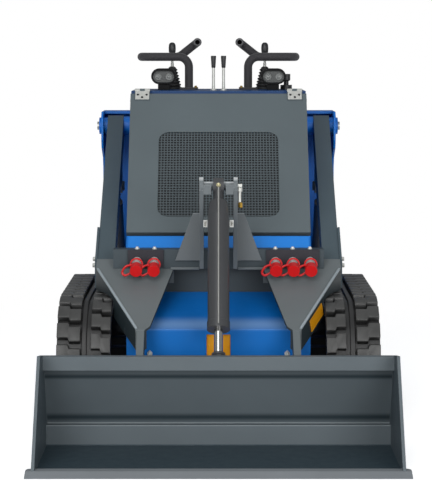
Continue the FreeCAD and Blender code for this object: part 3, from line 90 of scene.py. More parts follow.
def powder_coat(name, colour, worn, rough, wear, paler_by=0.0, low=None, side_shade=None, painted_light_bands=()):
    """Powder coat on steel: fades over 250 mm, dust over 30 mm, peel of 3 mm, pale worn edges.

    low is a darker colour and the height it reaches: below that height the coat is painted dark, as painted
    shade.
    The sideways colour is painted shade on what faces sideways. The forward marks are painted highlights and
    painted shades
    on what faces forward: colour, height of the middle, half height, reach to each side. What faces up is
    painted paler towards the worn colour by the given share, as a painted highlight."""
    coat, tree, place = new_material(name)
    fade = add(tree, "ShaderNodeTexNoise", {"Vector": place, "Scale": 4.0, "Detail": 3.0}).outputs["Fac"]
    dust = add(tree, "ShaderNodeTexNoise", {"Vector": place, "Scale": 33.0, "Detail": 5.0,
                                            "Roughness": 0.65}).outputs["Fac"]
    peel = add(tree, "ShaderNodeTexNoise", {"Vector": place, "Scale": 330.0, "Detail": 2.0}).outputs["Fac"]
    base = linear(colour)
    tone = add(tree, "ShaderNodeMix", {"Factor": fade, 6: scaled(base, 0.88),
                                       7: scaled(base, 1.12, 0.002)}, data_type="RGBA").outputs[2]
    spot = add(tree, "ShaderNodeSeparateXYZ", {"Vector": place})
    own_normal = add(tree, "ShaderNodeNewGeometry").outputs["Normal"]
    facing = add(tree, "ShaderNodeSeparateXYZ", {"Vector": own_normal})
    # Below the given height the coat takes the low colour, as painted shade.
    if low:
        shade, height = low
        above = add(tree, "ShaderNodeMapRange", {"Value": spot.outputs["Z"], "From Min": height,
                                                 "From Max": height + 0.004}).outputs[0]
        tone = add(tree, "ShaderNodeMix", {"Factor": above, 6: linear(shade), 7: tone},
                   data_type="RGBA").outputs[2]
    # What faces sideways takes the sideways colour, as painted shade.
    if side_shade:
        aside = add(tree, "ShaderNodeMath", {0: facing.outputs["X"]}, operation="ABSOLUTE").outputs[0]
        aside = add(tree, "ShaderNodeMapRange", {"Value": aside, "From Min": 0.6, "From Max": 0.8}).outputs[0]
        tone = add(tree, "ShaderNodeMix", {"Factor": aside, 6: tone, 7: linear(side_shade)},
                   data_type="RGBA").outputs[2]
    # The forward marks are painted highlights and painted shades, each at its own height.
    for shade, height, half, wide in painted_light_bands:
        off = add(tree, "ShaderNodeMath", {0: spot.outputs["Z"], 1: height}, operation="SUBTRACT").outputs[0]
        off = add(tree, "ShaderNodeMath", {0: off}, operation="ABSOLUTE").outputs[0]
        near = add(tree, "ShaderNodeMapRange", {"Value": off, "From Max": half, "To Min": 0.85, "To Max": 0.0},
                   interpolation_type="SMOOTHSTEP").outputs[0]
        inside = add(tree, "ShaderNodeMath", {0: spot.outputs["X"]}, operation="ABSOLUTE").outputs[0]
        inside = add(tree, "ShaderNodeMath", {0: inside, 1: wide}, operation="LESS_THAN").outputs[0]
        forward = add(tree, "ShaderNodeMapRange", {"Value": facing.outputs["Y"], "From Min": -0.1,
                                                   "From Max": -0.3}).outputs[0]
        near = add(tree, "ShaderNodeMath", {0: near, 1: inside}, operation="MULTIPLY").outputs[0]
        near = add(tree, "ShaderNodeMath", {0: near, 1: forward}, operation="MULTIPLY").outputs[0]
        tone = add(tree, "ShaderNodeMix", {"Factor": near, 6: tone, 7: linear(shade)},
                   data_type="RGBA").outputs[2]
    # The coat is rubbed where the rounded normal leaves the piece's own, which is near an edge.
    normal = add(tree, "ShaderNodeBevel", {"Radius": 0.0022}, samples=4).outputs["Normal"]
    bend = add(tree, "ShaderNodeVectorMath", {0: normal, 1: own_normal}, operation="DOT_PRODUCT")
    edge = add(tree, "ShaderNodeMapRange", {"Value": bend.outputs["Value"], "From Min": 0.995,
                                            "From Max": 0.86}).outputs[0]
    rubbed = add(tree, "ShaderNodeMapRange", {"Value": dust, "From Min": 0.40, "From Max": 0.68,
                                              "To Max": wear}).outputs[0]
    rubbed = add(tree, "ShaderNodeMath", {0: edge, 1: rubbed}, operation="MULTIPLY").outputs[0]
    if paler_by:
        # What faces up is painted paler towards the worn colour, as a painted highlight.
        level = add(tree, "ShaderNodeMapRange", {"Value": facing.outputs["Z"], "From Min": 0.6,
                                                 "From Max": 0.95, "To Max": paler_by}).outputs[0]
        rubbed = add(tree, "ShaderNodeMath", {0: rubbed, 1: level}, operation="MAXIMUM").outputs[0]
    tone = add(tree, "ShaderNodeMix", {"Factor": rubbed, 6: tone, 7: linear(worn)},
               data_type="RGBA").outputs[2]
    gloss = add(tree, "ShaderNodeMapRange", {"Value": dust, "To Min": rough - 0.06,
                                             "To Max": rough + 0.12}).outputs[0]
    close_material(tree, peel, 0.10, 0.0006, normal, {"Base Color": tone, "Roughness": gloss, "IOR": 1.4})
    return coat


def dress(coat, *names):
    """Gives CAD nodes their finish."""
    for name in names:
        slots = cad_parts[name].data.materials
        slots.clear()
        slots.append(coat)


blue_coat = powder_coat("blue powder coat", "#006cc6", "#3f97e0", rough=0.36, wear=0.35)
# The cowl has a painted highlight along its bend. The shelf's blue is painted lighter, as a painted highlight
# on its sloping face, and the lower part of its upright face is painted dark grey, as painted shade under the
# cross member.
cowl_bend_highlight, shelf_shade_top, any_width = 0.3565, 0.530, 1.0
bent_blue = powder_coat("blue powder coat on bent sheet", "#006bbf", "#3f8fd6", rough=0.36, wear=0.25,
                        painted_light_bands=(("#7fa6d6", cowl_bend_highlight, 0.020, any_width),))
shelf_painted_light_coat = powder_coat("blue and grey powder coat on the shelf", "#1c7ed8", "#5ba0de", rough=0.40,
                         wear=0.25, low=("#343d42", shelf_shade_top))
dress(blue_coat, "hull")
dress(bent_blue, "front_cowl")
dress(shelf_painted_light_coat, "shelf_cowl")


# ------------------------------------------------------------------ hooks on the front cowl
# Two small zinc-plated eye hooks, bent from round bar and screwed into the cowl low beside the
# forks. Each is a ring on a shank with a washer under it.

def zinc_like(name, colour, rough, grain, streak, metallic=1.0):
    """Bare or plated metal: fine grain in its gloss, and cloudy patches of 15 mm."""
    metal, tree, place = new_material(name)
    fine = add(tree, "ShaderNodeTexNoise", {"Vector": place, "Scale": grain, "Detail": 3.0}).outputs["Fac"]
    cloud = add(tree, "ShaderNodeTexNoise", {"Vector": place, "Scale": 66.0, "Detail": 4.0}).outputs["Fac"]
    base = linear(colour)
    tone = add(tree, "ShaderNodeMix", {"Factor": cloud, 6: scaled(base, 0.78), 7: base},
               data_type="RGBA").outputs[2]
    gloss = add(tree, "ShaderNodeMapRange", {"Value": fine, "To Min": rough,
                                             "To Max": rough + streak}).outputs[0]
    normal = add(tree, "ShaderNodeBevel", {"Radius": 0.0012}, samples=4).outputs["Normal"]
    close_material(tree, fine, 0.06, 0.0004, normal,
                   {"Base Color": tone, "Metallic": metallic, "Roughness": gloss})
    return metal


def put_down():
    """Leaves nothing selected, so that the next tool acts on its own piece alone."""
    bpy.ops.object.select_all(action="DESELECT")


def settle(name):
    """Names the piece just made and puts its place, turn and size into its mesh."""
    piece = bpy.context.object
    piece.name = name
    piece.data.name = name
    bpy.ops.object.transform_apply(location=True, rotation=True, scale=True)
    return piece


def choose(piece, test):
    """In edit mode, selects the faces whose middle and normal pass a test."""
    bpy.ops.mesh.select_all(action="DESELECT")
    bpy.ops.object.mode_set(mode="OBJECT")
    for face in piece.data.polygons:
        face.select = bool(test(face.center, face.normal))
    bpy.ops.object.mode_set(mode="EDIT")


def modify(piece, kind, **settings):
    """Puts one modifier, with its settings, into the active piece's mesh."""
    bpy.ops.object.modifier_add(type=kind)
    made = piece.modifiers[-1]
    for name, setting in settings.items():
        setattr(made, name, setting)
    bpy.ops.object.modifier_apply(modifier=made.name)


def soften(piece, width, segments=2):
    """Rounds the piece's sharp edges and shades it smooth between them."""
    bpy.context.view_layer.objects.active = piece
    piece.select_set(True)
    modify(piece, "BEVEL", width=width, segments=segments, limit_method="ANGLE", angle_limit=math.radians(40))
    bpy.ops.object.shade_smooth_by_angle(angle=math.radians(35))


def bar_along(name, x, y, z, rings, sides):
    """A round bar stood at a point and drawn up ring by ring; each ring is a rise and a radius."""
    put_down()
    bpy.ops.mesh.primitive_circle_add(vertices=sides, radius=rings[0][1], location=(x, y, z + rings[0][0]),
                                      fill_type="NGON")
    piece = settle(name)
    bpy.ops.object.mode_set(mode="EDIT")
    bpy.ops.mesh.select_all(action="SELECT")
    high, radius = rings[0]
    for rise, wide in rings[1:]:
        bpy.ops.mesh.extrude_region_move(TRANSFORM_OT_translate={"value": (0, 0, rise - high)})
        if abs(wide - radius) > 1e-6:
            share = wide / radius
            bpy.ops.transform.resize(value=(share, share, 1), center_override=(x, y, z + rise))
        high, radius = rise, wide
    bpy.ops.mesh.select_all(action="SELECT")
    bpy.ops.mesh.normals_make_consistent(inside=False)
    bpy.ops.object.mode_set(mode="OBJECT")
    bpy.ops.object.shade_smooth_by_angle(angle=math.radians(35))
    return piece


def block_at(name, low, high):
    """A block between two corners, ready to be shaped."""
    put_down()
    middle = [(a + b) / 2 for a, b in zip(low, high)]
    bpy.ops.mesh.primitive_cube_add(size=1, location=middle, scale=[b - a for a, b in zip(low, high)])
    return settle(name)


def another(piece, name, move):
    """A copy with its own mesh, moved by a matrix; a mirrored copy is turned right side out."""
    twin = piece.copy()
    twin.data = piece.data.copy()
    twin.name = twin.data.name = name
    for made in list(piece.users_collection):
        made.objects.link(twin)
    twin.data.transform(move)
    if move.determinant() < 0:
        twin.data.flip_normals()
    return twin


def join(name, *parts):
    """Joins the parts of one real piece into one mesh."""
    put_down()
    for part in parts:
        part.select_set(True)
    bpy.context.view_layer.objects.active = parts[0]
    bpy.ops.object.join()
    parts[0].name = parts[0].data.name = name
    return parts[0]


def fit(piece, coat, body):
    """Gives a finished piece its finish and its body."""
    piece.data.materials.clear()
    piece.data.materials.append(coat)
    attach(piece, body)


MIRROR = Matrix.Scale(-1, 4, (1, 0, 0))


def fit_pair(piece, twin, coat, body):
    """Fits a piece, and the same piece mirrored to the machine's other side."""
    fit(piece, coat, body)
    fit(another(piece, twin, MIRROR), coat, body)


TO_FRONT = Matrix.Rotation(math.pi / 2, 4, "X")
zinc = zinc_like("zinc-plated steel", "#d6d7d2", 0.38, 300.0, 0.2, metallic=0.55)
cowl_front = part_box("front_cowl")[0][1]
hook_across, hook_high, ring_reach = 0.230, 0.263, 0.0125

put_down()
bpy.ops.mesh.primitive_torus_add(major_radius=0.011, minor_radius=0.003, major_segments=24, minor_segments=10,
                                 location=(-hook_across, cowl_front - ring_reach, hook_high),
                                 rotation=(0, math.pi / 2, 0))
ring = settle("hook_ring")
shank = bar_along("hook_shank", -hook_across, 0, 0,
                  [(0, 0.009), (0.0025, 0.009), (0.0025, 0.0045), (0.006, 0.004)], 16)
shank.data.transform(Matrix.Translation((0, cowl_front, hook_high)) @ TO_FRONT)
fit_pair(join("cowl_hook_left", ring, shank), "cowl_hook_right", zinc, "chassis")


# ------------------------------------------------------------------ blank plate on the cowl
# A small enamelled plate behind the tilt cylinder's rod, riveted flat on the cowl. Its face is
# left bare, with a pressed border.

def blank_plate(name, wide, tall):
    """A bare plate in the plane of X and Z with rounded corners, a raised border and two rivets."""
    thick, corner, border, pressed, rivet_in = 0.0016, 0.004, 0.0025, 0.0008, 0.006
    plate = block_at(name, (-wide / 2, -thick, -tall / 2), (wide / 2, 0, tall / 2))
    bpy.ops.object.mode_set(mode="EDIT")
    bpy.ops.mesh.select_all(action="DESELECT")
    bpy.ops.object.mode_set(mode="OBJECT")
    for edge in plate.data.edges:
        a, b = (plate.data.vertices[i].co for i in edge.vertices)
        edge.select = abs(a.y - b.y) > thick / 2
    bpy.ops.object.mode_set(mode="EDIT")
    bpy.ops.mesh.select_mode(type="EDGE")
    bpy.ops.mesh.bevel(offset=corner, segments=4)
    bpy.ops.mesh.select_mode(type="FACE")
    choose(plate, lambda middle, normal: normal.y < -0.9)
    bpy.ops.mesh.inset(thickness=border)
    bpy.ops.mesh.inset(thickness=pressed)
    bpy.ops.transform.translate(value=(0, pressed, 0))
    bpy.ops.object.mode_set(mode="OBJECT")
    rivets = []
    for side in (-1, 1):
        rivet = bar_along("rivet", 0, 0, 0, [
            (0, 0.0028), (0.0008, 0.0028), (0.0014, 0.0018), (0.0016, 0.0006)], 12)
        rivet.data.transform(Matrix.Translation((side * (wide / 2 - rivet_in), -pressed, 0)) @ TO_FRONT)
        rivets.append(rivet)
    return join(name, plate, *rivets)


amber = powder_coat("amber enamel on sheet", "#d9930f", "#f1c65a", rough=0.35, wear=0.35)
plate_high = 0.290
plate = blank_plate("cowl_plate", 0.080, 0.076)
plate.data.transform(Matrix.Translation((0, cowl_front, plate_high)))
fit(plate, amber, "chassis")


# ------------------------------------------------------------------ upper body, deck and rear
# Flat sheets flanged and screwed to the hull. Each side has pressed louvres that let the
# engine's warm air out, and so has the rear sheet.
deck_coat = powder_coat("dark blue coat on the deck", "#0a3c70", "#3f7fb8", rough=0.4, wear=0.35)
dress(blue_coat, "side_panel_left", "side_panel_right", "rear_panel")
dress(deck_coat, "top_deck")


def louvre(name, x, y, z, long):
    """One pressed louvre on a sheet that faces +X: a long hood, open below."""
    proud, tall, shoulder = 0.007, 0.016, 0.004
    slot = block_at(name, (x, y - long / 2, z), (x + proud, y + long / 2, z + tall))
    bpy.ops.object.mode_set(mode="EDIT")
    bpy.ops.mesh.select_mode(type="FACE")
    choose(slot, lambda middle, normal: normal.x > 0.9)
    bpy.ops.mesh.inset(thickness=shoulder)
    bpy.ops.transform.translate(value=(0.002, 0, -0.003))
    bpy.ops.object.mode_set(mode="OBJECT")
    soften(slot, 0.0015)
    return slot


side_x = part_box("side_panel_right")[1][0]
rear_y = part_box("rear_panel")[1][1]
louvre_middle, louvre_low, louvre_step, louvre_long, rear_higher = 0.310, 0.640, 0.034, 0.200, 0.080
to_rear = Matrix.Rotation(math.pi / 2, 4, "Z")
for row in range(6):
    high = louvre_low + row * louvre_step
    right = louvre(f"side_louvre_right_{row}", side_x, louvre_middle, high, louvre_long)
    fit_pair(right, f"side_louvre_left_{row}", blue_coat, "chassis")
    shift = Matrix.Translation((louvre_middle, rear_y - side_x, rear_higher))
    fit(another(right, f"rear_louvre_{row}", shift @ to_rear), blue_coat, "chassis")


def hex_bolt(name, across):
    """A hexagon-headed bolt and washer that point along +X, with the head's top chamfered."""
    washer = bar_along(name, 0, 0, 0, [(0, across * 0.95), (across * 0.12, across * 0.95)], 24)
    head = bar_along("head", 0, 0, 0, [(across * 0.12, across * 0.58), (across * 0.62, across * 0.58),
                                       (across * 0.72, across * 0.50)], 6)
    bolt = join(name, washer, head)
    bolt.data.transform(Matrix.Rotation(math.pi / 2, 4, "Y"))
    soften(bolt, across * 0.03, 1)
    return bolt


screw = hex_bolt("panel_screw", 0.010)
flange_high, under_deck = 0.455, 1.085
side_spots = [(y, flange_high) for y in (-0.11, 0.12, 0.42)] + [(y, under_deck) for y in (0.36, 0.44)]
for number, (y, z) in enumerate(side_spots):
    moved = another(screw, f"panel_screw_right_{number}", Matrix.Translation((side_x, y, z)))
    fit_pair(moved, f"panel_screw_left_{number}", zinc, "chassis")
for number, (x, z) in enumerate([(x, z) for x in (-0.27, 0.27) for z in (0.47, 0.76, 1.07)]):
    moved = another(screw, f"rear_screw_{number}", Matrix.Translation((x, rear_y, z)) @ to_rear)
    fit(moved, zinc, "chassis")
bpy.data.objects.remove(screw)


# ------------------------------------------------------------------ engine
# One heavy block of cast iron, painted dark and bolted to the hull's floor. It is seen only
# from below, since a screen closes the hood's grille.
cast_skin = powder_coat("painted cast iron", "#242526", "#3c3c3c", rough=0.6, wear=0.3)
dress(cast_skin, "engine")


# ------------------------------------------------------------------ platform
# The operator's step: plate with a rim, coated black and carried on two brackets off the hull.
# Oval treads are pressed up out of the plate in rows, so that boots don't slip.
black_coat = powder_coat("black powder coat on frame steel", "#1e2022", "#4a4c4e", rough=0.5, wear=0.4)
dress(black_coat, "platform")
first_tread, squeeze = Matrix.Translation((-0.230, 0.840, 0.173)), 0.45
in_row, row_count, tread_apart, rows_apart = 14, 8, 0.035, 0.034
tread = bar_along("platform_treads", 0, 0, 0, [(0, 0.011), (0.0015, 0.010), (0.0024, 0.006)], 10)
tread.data.transform(first_tread @ Matrix.Scale(squeeze, 4, (1, 0, 0)))
bpy.context.view_layer.objects.active = tread
for count, offset in ((in_row, (tread_apart, 0, 0)), (row_count, (0, rows_apart, 0))):
    modify(tread, "ARRAY", use_relative_offset=False, use_constant_offset=True, count=count,
           constant_offset_displace=offset)
fit(tread, black_coat, "chassis")


# ------------------------------------------------------------------ track frames and wheels
# Welded plate frames, coated black and bolted to the hull by struts. Cast idlers, sprockets
# and rollers turn between their plates, and five bolts hold each drive hub.
dress(black_coat, "track_frame_left", "track_frame_right")
for wheel in ("idler", "sprocket", "rollers"):
    dress(cast_skin, f"{wheel}_left", f"{wheel}_right")
hub_bolt = hex_bolt("hub_bolt", 0.018)
hub_low, hub_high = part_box("sprocket_right")
axle_y, axle_z = (hub_low[1] + hub_high[1]) / 2, (hub_low[2] + hub_high[2]) / 2
bolt_circle, bolt_count = 0.038, 5
for number in range(bolt_count):
    angle = 2 * math.pi * number / bolt_count
    place = (hub_high[0], axle_y + bolt_circle * math.cos(angle), axle_z + bolt_circle * math.sin(angle))
    right = another(hub_bolt, f"hub_bolt_right_{number}", Matrix.Translation(place))
    fit_pair(right, f"hub_bolt_left_{number}", zinc, "chassis")
bpy.data.objects.remove(hub_bolt)


# ------------------------------------------------------------------ tracks
# Moulded rubber loops with two staggered rows of lugs and a smooth rib between them. The
# rubber is dark and satin, with patches of dust, and its lug tops are paler: rubbed, and a painted highlight
# as well.

def moulded(name, colour, rough, pit, paler_by, depth=0.25, sheen=0.0, patch=14.0, shine=0.5, crown=None):
    """Moulded rubber or plastic: fine pits in its skin, and patches of dust.

    crown is the paler colour of a track's lug tops, rubbed and with a painted highlight; the loop's middle,
    half the run, and where it starts."""
    stuff, tree, place = new_material(name)
    fine = add(tree, "ShaderNodeTexNoise", {"Vector": place, "Scale": pit, "Detail": 4.0}).outputs["Fac"]
    cloud = add(tree, "ShaderNodeTexNoise", {"Vector": place, "Scale": patch, "Detail": 5.0}).outputs["Fac"]
    base = linear(colour)
    tone = add(tree, "ShaderNodeMix", {"Factor": cloud, 6: base, 7: scaled(base, paler_by, 0.002)},
               data_type="RGBA").outputs[2]
    if crown:
        rubbed, middle, half_run, start = crown
        off = add(tree, "ShaderNodeVectorMath", {0: place, 1: middle}, operation="SUBTRACT").outputs[0]
        off = add(tree, "ShaderNodeSeparateXYZ", {"Vector": off})
        past = add(tree, "ShaderNodeMath", {0: off.outputs["Y"]}, operation="ABSOLUTE").outputs[0]
        past = add(tree, "ShaderNodeMath", {0: past, 1: half_run}, operation="SUBTRACT").outputs[0]
        past = add(tree, "ShaderNodeMath", {0: past, 1: 0.0}, operation="MAXIMUM").outputs[0]
        far = add(tree, "ShaderNodeCombineXYZ", {"Y": past, "Z": off.outputs["Z"]}).outputs[0]
        far = add(tree, "ShaderNodeVectorMath", {0: far}, operation="LENGTH").outputs["Value"]
        worn = add(tree, "ShaderNodeMapRange", {"Value": far, "From Min": start,
                                                "From Max": start + 0.006}).outputs[0]
        tone = add(tree, "ShaderNodeMix", {"Factor": worn, 6: tone, 7: linear(rubbed)},
                   data_type="RGBA").outputs[2]
    gloss = add(tree, "ShaderNodeMapRange", {"Value": cloud, "To Min": rough - 0.08,
                                             "To Max": rough + 0.1}).outputs[0]
    normal = add(tree, "ShaderNodeBevel", {"Radius": 0.0025}, samples=4).outputs["Normal"]
    close_material(tree, fine, depth, 0.001, normal, {
        "Base Color": tone, "Roughness": gloss, "IOR": 1.5, "Specular IOR Level": shine,
        "Sheen Weight": sheen})
    return stuff


track_low, track_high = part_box("track_right")
outer_radius = (track_high[2] - track_low[2]) / 2
axle_front, axle_rear = track_low[1] + outer_radius, track_high[1] - outer_radius
axle_high = track_low[2] + outer_radius
run = axle_rear - axle_front
lug_tall, lug_tall_in_bend, lug_half, lug_top_half, lug_pitch = 0.022, 0.0195, 0.029, 0.026, 0.072
lug_step, step_half, crown_depth = 0.014, 0.002, 0.007
belt_thick, belt_radius = 0.022, outer_radius - lug_tall
# The lug tops are paler: rubbed, and a painted highlight as well.
track_rubber = moulded("track rubber", "#181818", 0.42, pit=180.0, paler_by=2.2, crown=(
    "#434342", (0, (axle_front + axle_rear) / 2, axle_high), run / 2, outer_radius - crown_depth))


def loop_band(name, radius, left, right, thick):
    """A closed band round both axles: a tube whose rear half is drawn back, then thickened."""
    put_down()
    sides = 64
    half_side = math.pi / sides
    middle = ((left + right) / 2, axle_front, axle_high)
    bpy.ops.mesh.primitive_cylinder_add(vertices=sides, radius=radius / math.cos(half_side),
                                        depth=right - left, end_fill_type="NOTHING", location=middle,
                                        rotation=(0, math.pi / 2, 0))
    band = settle(name)
    to_axle = Matrix.Translation((0, axle_front, axle_high))
    band.data.transform(to_axle @ Matrix.Rotation(half_side, 4, "X") @ to_axle.inverted())
    bpy.ops.object.mode_set(mode="EDIT")
    bpy.ops.mesh.select_mode(type="FACE")
    choose(band, lambda centre, normal: centre.y > axle_front + 0.001)
    bpy.ops.transform.translate(value=(0, run, 0))
    bpy.ops.object.mode_set(mode="OBJECT")
    modify(band, "SOLIDIFY", thickness=thick, offset=-1)
    bpy.ops.object.shade_smooth_by_angle(angle=math.radians(35))
    return band


def tread_lug(name, left, right):
    """One lug at the origin, stepped halfway across like a letter Z, tapered and rounded."""
    lug = block_at(name, (left, -lug_half, 0), (right, lug_half, lug_tall))
    bpy.ops.object.mode_set(mode="EDIT")
    bpy.ops.mesh.select_mode(type="FACE")
    choose(lug, lambda middle, normal: normal.z > 0.9)
    bpy.ops.transform.resize(value=(1, lug_top_half / lug_half, 1), center_override=(0, 0, lug_tall))
    middle = (left + right) / 2
    for cut in (middle - step_half, middle + step_half):
        bpy.ops.mesh.select_all(action="SELECT")
        bpy.ops.mesh.bisect(plane_co=(cut, 0, 0), plane_no=(1, 0, 0))
    choose(lug, lambda centre, normal: centre.x > middle + step_half)
    bpy.ops.transform.translate(value=(0, lug_step, 0))
    bpy.ops.mesh.select_all(action="SELECT")
    bpy.ops.transform.translate(value=(0, -lug_step / 2, 0))
    bpy.ops.object.mode_set(mode="OBJECT")
    soften(lug, 0.0025)
    return lug


def on_belt(distance):
    """Place and turn of a lug at a distance along the belt, from the front end of its top run.

    In the bends the lug is a little lower, so that it stays inside the loop's outline."""
    bend = math.pi * belt_radius
    flatter = Matrix.Scale(lug_tall_in_bend / lug_tall, 4, (0, 0, 1))
    out = Matrix.Translation((0, 0, belt_radius))
    if distance < run:
        return Matrix.Translation((0, axle_front + distance, axle_high + belt_radius))
    if distance < run + bend:
        turn = Matrix.Rotation(-(distance - run) / belt_radius, 4, "X")
        return Matrix.Translation((0, axle_rear, axle_high)) @ turn @ out @ flatter
    if distance < 2 * run + bend:
        under = Matrix.Translation((0, axle_rear - (distance - run - bend), axle_high - belt_radius))
        return under @ Matrix.Rotation(math.pi, 4, "X")
    turn = Matrix.Rotation(math.pi - (distance - 2 * run - bend) / belt_radius, 4, "X")
    return Matrix.Translation((0, axle_front, axle_high)) @ turn @ out @ flatter


belt = loop_band("belt", belt_radius, track_low[0], track_high[0], belt_thick)
rib_from, rib_to, rib_proud, rib_thick = 0.080, 0.098, 0.007, 0.010
rib = loop_band("rib", belt_radius + rib_proud, track_low[0] + rib_from, track_low[0] + rib_to, rib_thick)
soften(rib, 0.003)
belt_length = 2 * (run + math.pi * belt_radius)
lug_count = round(belt_length / lug_pitch)
outer_row, inner_row = 0.079, 0.066
rows = ((track_high[0] - outer_row, track_high[0], 0.25), (track_low[0], track_low[0] + inner_row, 0.75))
pieces = [belt, rib]
for row, (left, right, phase) in enumerate(rows):
    lug = tread_lug(f"lug_{row}", left, right)
    for index in range(lug_count):
        place = on_belt((index + phase) * belt_length / lug_count)
        pieces.append(another(lug, f"lug_{row}_{index}", place))
    bpy.data.objects.remove(lug)
right_track = join("tread_right", *pieces)
left_track = another(right_track, "tread_left", MIRROR)
for word, tread in (("right", right_track), ("left", left_track)):
    fit(tread, track_rubber, "chassis")
    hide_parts(f"track_{word}")


# ------------------------------------------------------------------ towers and their pins
# Boxed towers of blue plate beside the body, each welded up from two plates, a back and a
# cap. The arms turn in them on headed pins of ground steel.
dress(blue_coat, "tower_left", "tower_right")
ground_steel = zinc_like("ground steel", "#b3b4b2", 0.28, 900.0, 0.12)
dress(ground_steel, "boom_pins")

# A strip under each cap's rear edge closes the corner above the back plate.
strip = block_at("tower_closure_right", (0.334, 0.7005, 1.008), (0.441, 0.7050, 1.0305))
soften(strip, 0.0008)
fit_pair(strip, "tower_closure_left", blue_coat, "chassis")


# ------------------------------------------------------------------ lift arms
# Rectangular steel tube in grey coat, from the tower down to the fork. A doubler plate lies on
# the outer side of its front end, under two zinc-plated bolts.
grey_coat = powder_coat("grey powder coat on steel tube", "#46545b", "#7c878c", rough=0.44, wear=0.55)
dress(grey_coat, "arm_left", "arm_right")
arm_bolt = hex_bolt("doubler_bolt", 0.014)
arm_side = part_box("arm_right")[1][0]
for number, (y, z) in enumerate(((-0.098, 0.541), (-0.118, 0.521))):
    right = another(arm_bolt, f"doubler_bolt_right_{number}", Matrix.Translation((arm_side, y, z)))
    fit_pair(right, f"doubler_bolt_left_{number}", zinc, "boom")
bpy.data.objects.remove(arm_bolt)


# ------------------------------------------------------------------ cross member and forks
# A box beam ties the arms, on two folded forks that taper down to the bucket's pins. A round
# bead of weld runs along each fork's outer fold, and its coat is painted paler, as a painted highlight along
# the fold.
# The forks' sideways faces are painted dark, as painted shade, and the cross member's coat is painted dark, as
# the shade it stands in.
fork_coat = powder_coat("grey powder coat on fork plate", "#666d6f", "#858d90", rough=0.46, wear=0.5,
                        side_shade="#232d31")
shaded_cross_coat = powder_coat("dark grey powder coat on tube", "#39444a", "#6c777c", rough=0.46, wear=0.4)
dress(shaded_cross_coat, "cross_member")
dress(fork_coat, "fork_left", "fork_right")

# A short flange stands out along the cross member's lower front edge, beside each fork.
flange = block_at("cross_flange_right", (0.067, -0.2135, 0.5165), (0.166, -0.2048, 0.5255))
soften(flange, 0.0015)
fit_pair(flange, "cross_flange_left", fork_coat, "boom")


def along_fold(share):
    """A point on the right fork's outer fold, from the arm's end (0) to the leg (1)."""
    return Vector((0.425 - 0.152 * share, -0.205 - 0.334 * share, 0.520 - 0.1629 * share))


# The bead's coat is painted paler than the fork's, as a painted highlight along the fold.
bead_highlight_coat = powder_coat("grey powder coat on a weld bead", "#97a1a6", "#b5bdc1", rough=0.4, wear=0.6)
bead_start, bead_end = along_fold(0.01), along_fold(0.985)
bead_long, bead_thin, bead_thick, bead_taper = (bead_end - bead_start).length, 0.0034, 0.0048, 0.006
bead = bar_along("fork_bead_right", 0, 0, 0, [
    (0, bead_thin), (bead_taper, bead_thick), (bead_long - bead_taper, bead_thick),
    (bead_long, bead_thin)], 12)
turned = (bead_end - bead_start).to_track_quat("Z", "Y").to_matrix().to_4x4()
bead.data.transform(Matrix.Translation(bead_start + Vector((-0.0050, 0, 0.0015))) @ turned)
fit_pair(bead, "fork_bead_left", bead_highlight_coat, "boom")

# The right fork's outer wall has a second bare amber plate, 36 mm under the fold.
plate = blank_plate("fork_plate", 0.118, 0.044)
fold = (along_fold(1) - along_fold(0)).normalized()
away = Vector((-fold.y, fold.x, 0)).normalized()
where = along_fold(0.635) + Vector((0, 0, -0.036)) + away * 0.0002
slanted = Matrix((-fold, -away, fold.cross(away))).transposed().to_4x4()
plate.data.transform(Matrix.Translation(where) @ slanted)
fit(plate, amber, "boom")


# ------------------------------------------------------------------ tilt bracket
# Two thick plates that hold the tilt cylinder's pin, with gussets down to the cross member.
# A brass adaptor carries a steel line beside them, and two nylon clips hold hoses.
# What faces up on the bracket is painted nearly white, as a painted highlight on its top edges and plate.
bracket_coat = powder_coat("grey powder coat on thick plate", "#666c6f", "#d9dcdd", rough=0.46, wear=0.3,
                           paler_by=0.9)
dress(bracket_coat, "tilt_bracket")
brass = zinc_like("turned brass", "#c8a049", 0.25, 700.0, 0.1)
nylon = moulded("pale moulded nylon", "#ecece8", 0.5, pit=400.0, depth=0.1, paler_by=1.02)

# Each clip is a square nylon block, hollowed from its front.
clip_wall, clip_deep = 0.0032, 0.016
clip = block_at("hose_clip_right", (0.0370, -0.356, 0.679), (0.0508, -0.338, 0.702))
bpy.ops.object.mode_set(mode="EDIT")
bpy.ops.mesh.select_mode(type="FACE")
choose(clip, lambda middle, normal: normal.y < -0.9)
bpy.ops.mesh.inset(thickness=clip_wall)
bpy.ops.mesh.extrude_region_move(TRANSFORM_OT_translate={"value": (0, clip_deep, 0)})
bpy.ops.object.mode_set(mode="OBJECT")
soften(clip, 0.0006, 1)
fit_pair(clip, "hose_clip_left", nylon, "boom")

# A short steel line stands on the adaptor, with a nut on it, under a square saddle.
adaptor = bar_along("port_adaptor", 0.074, -0.332, 0.742, [
    (0, 0.0055), (0.003, 0.0080), (0.017, 0.0080), (0.020, 0.0055)], 6)
fit(adaptor, brass, "boom")
line = bar_along("port_line", 0.072, -0.330, 0.760, [
    (0, 0.0050), (0.036, 0.0050), (0.038, 0.0085), (0.050, 0.0085), (0.052, 0.0050), (0.064, 0.0050)], 12)
fit(line, zinc, "boom")
saddle = block_at("port_saddle", (0.064, -0.339, 0.812), (0.080, -0.323, 0.824))
soften(saddle, 0.0012)
fit(saddle, zinc, "boom")


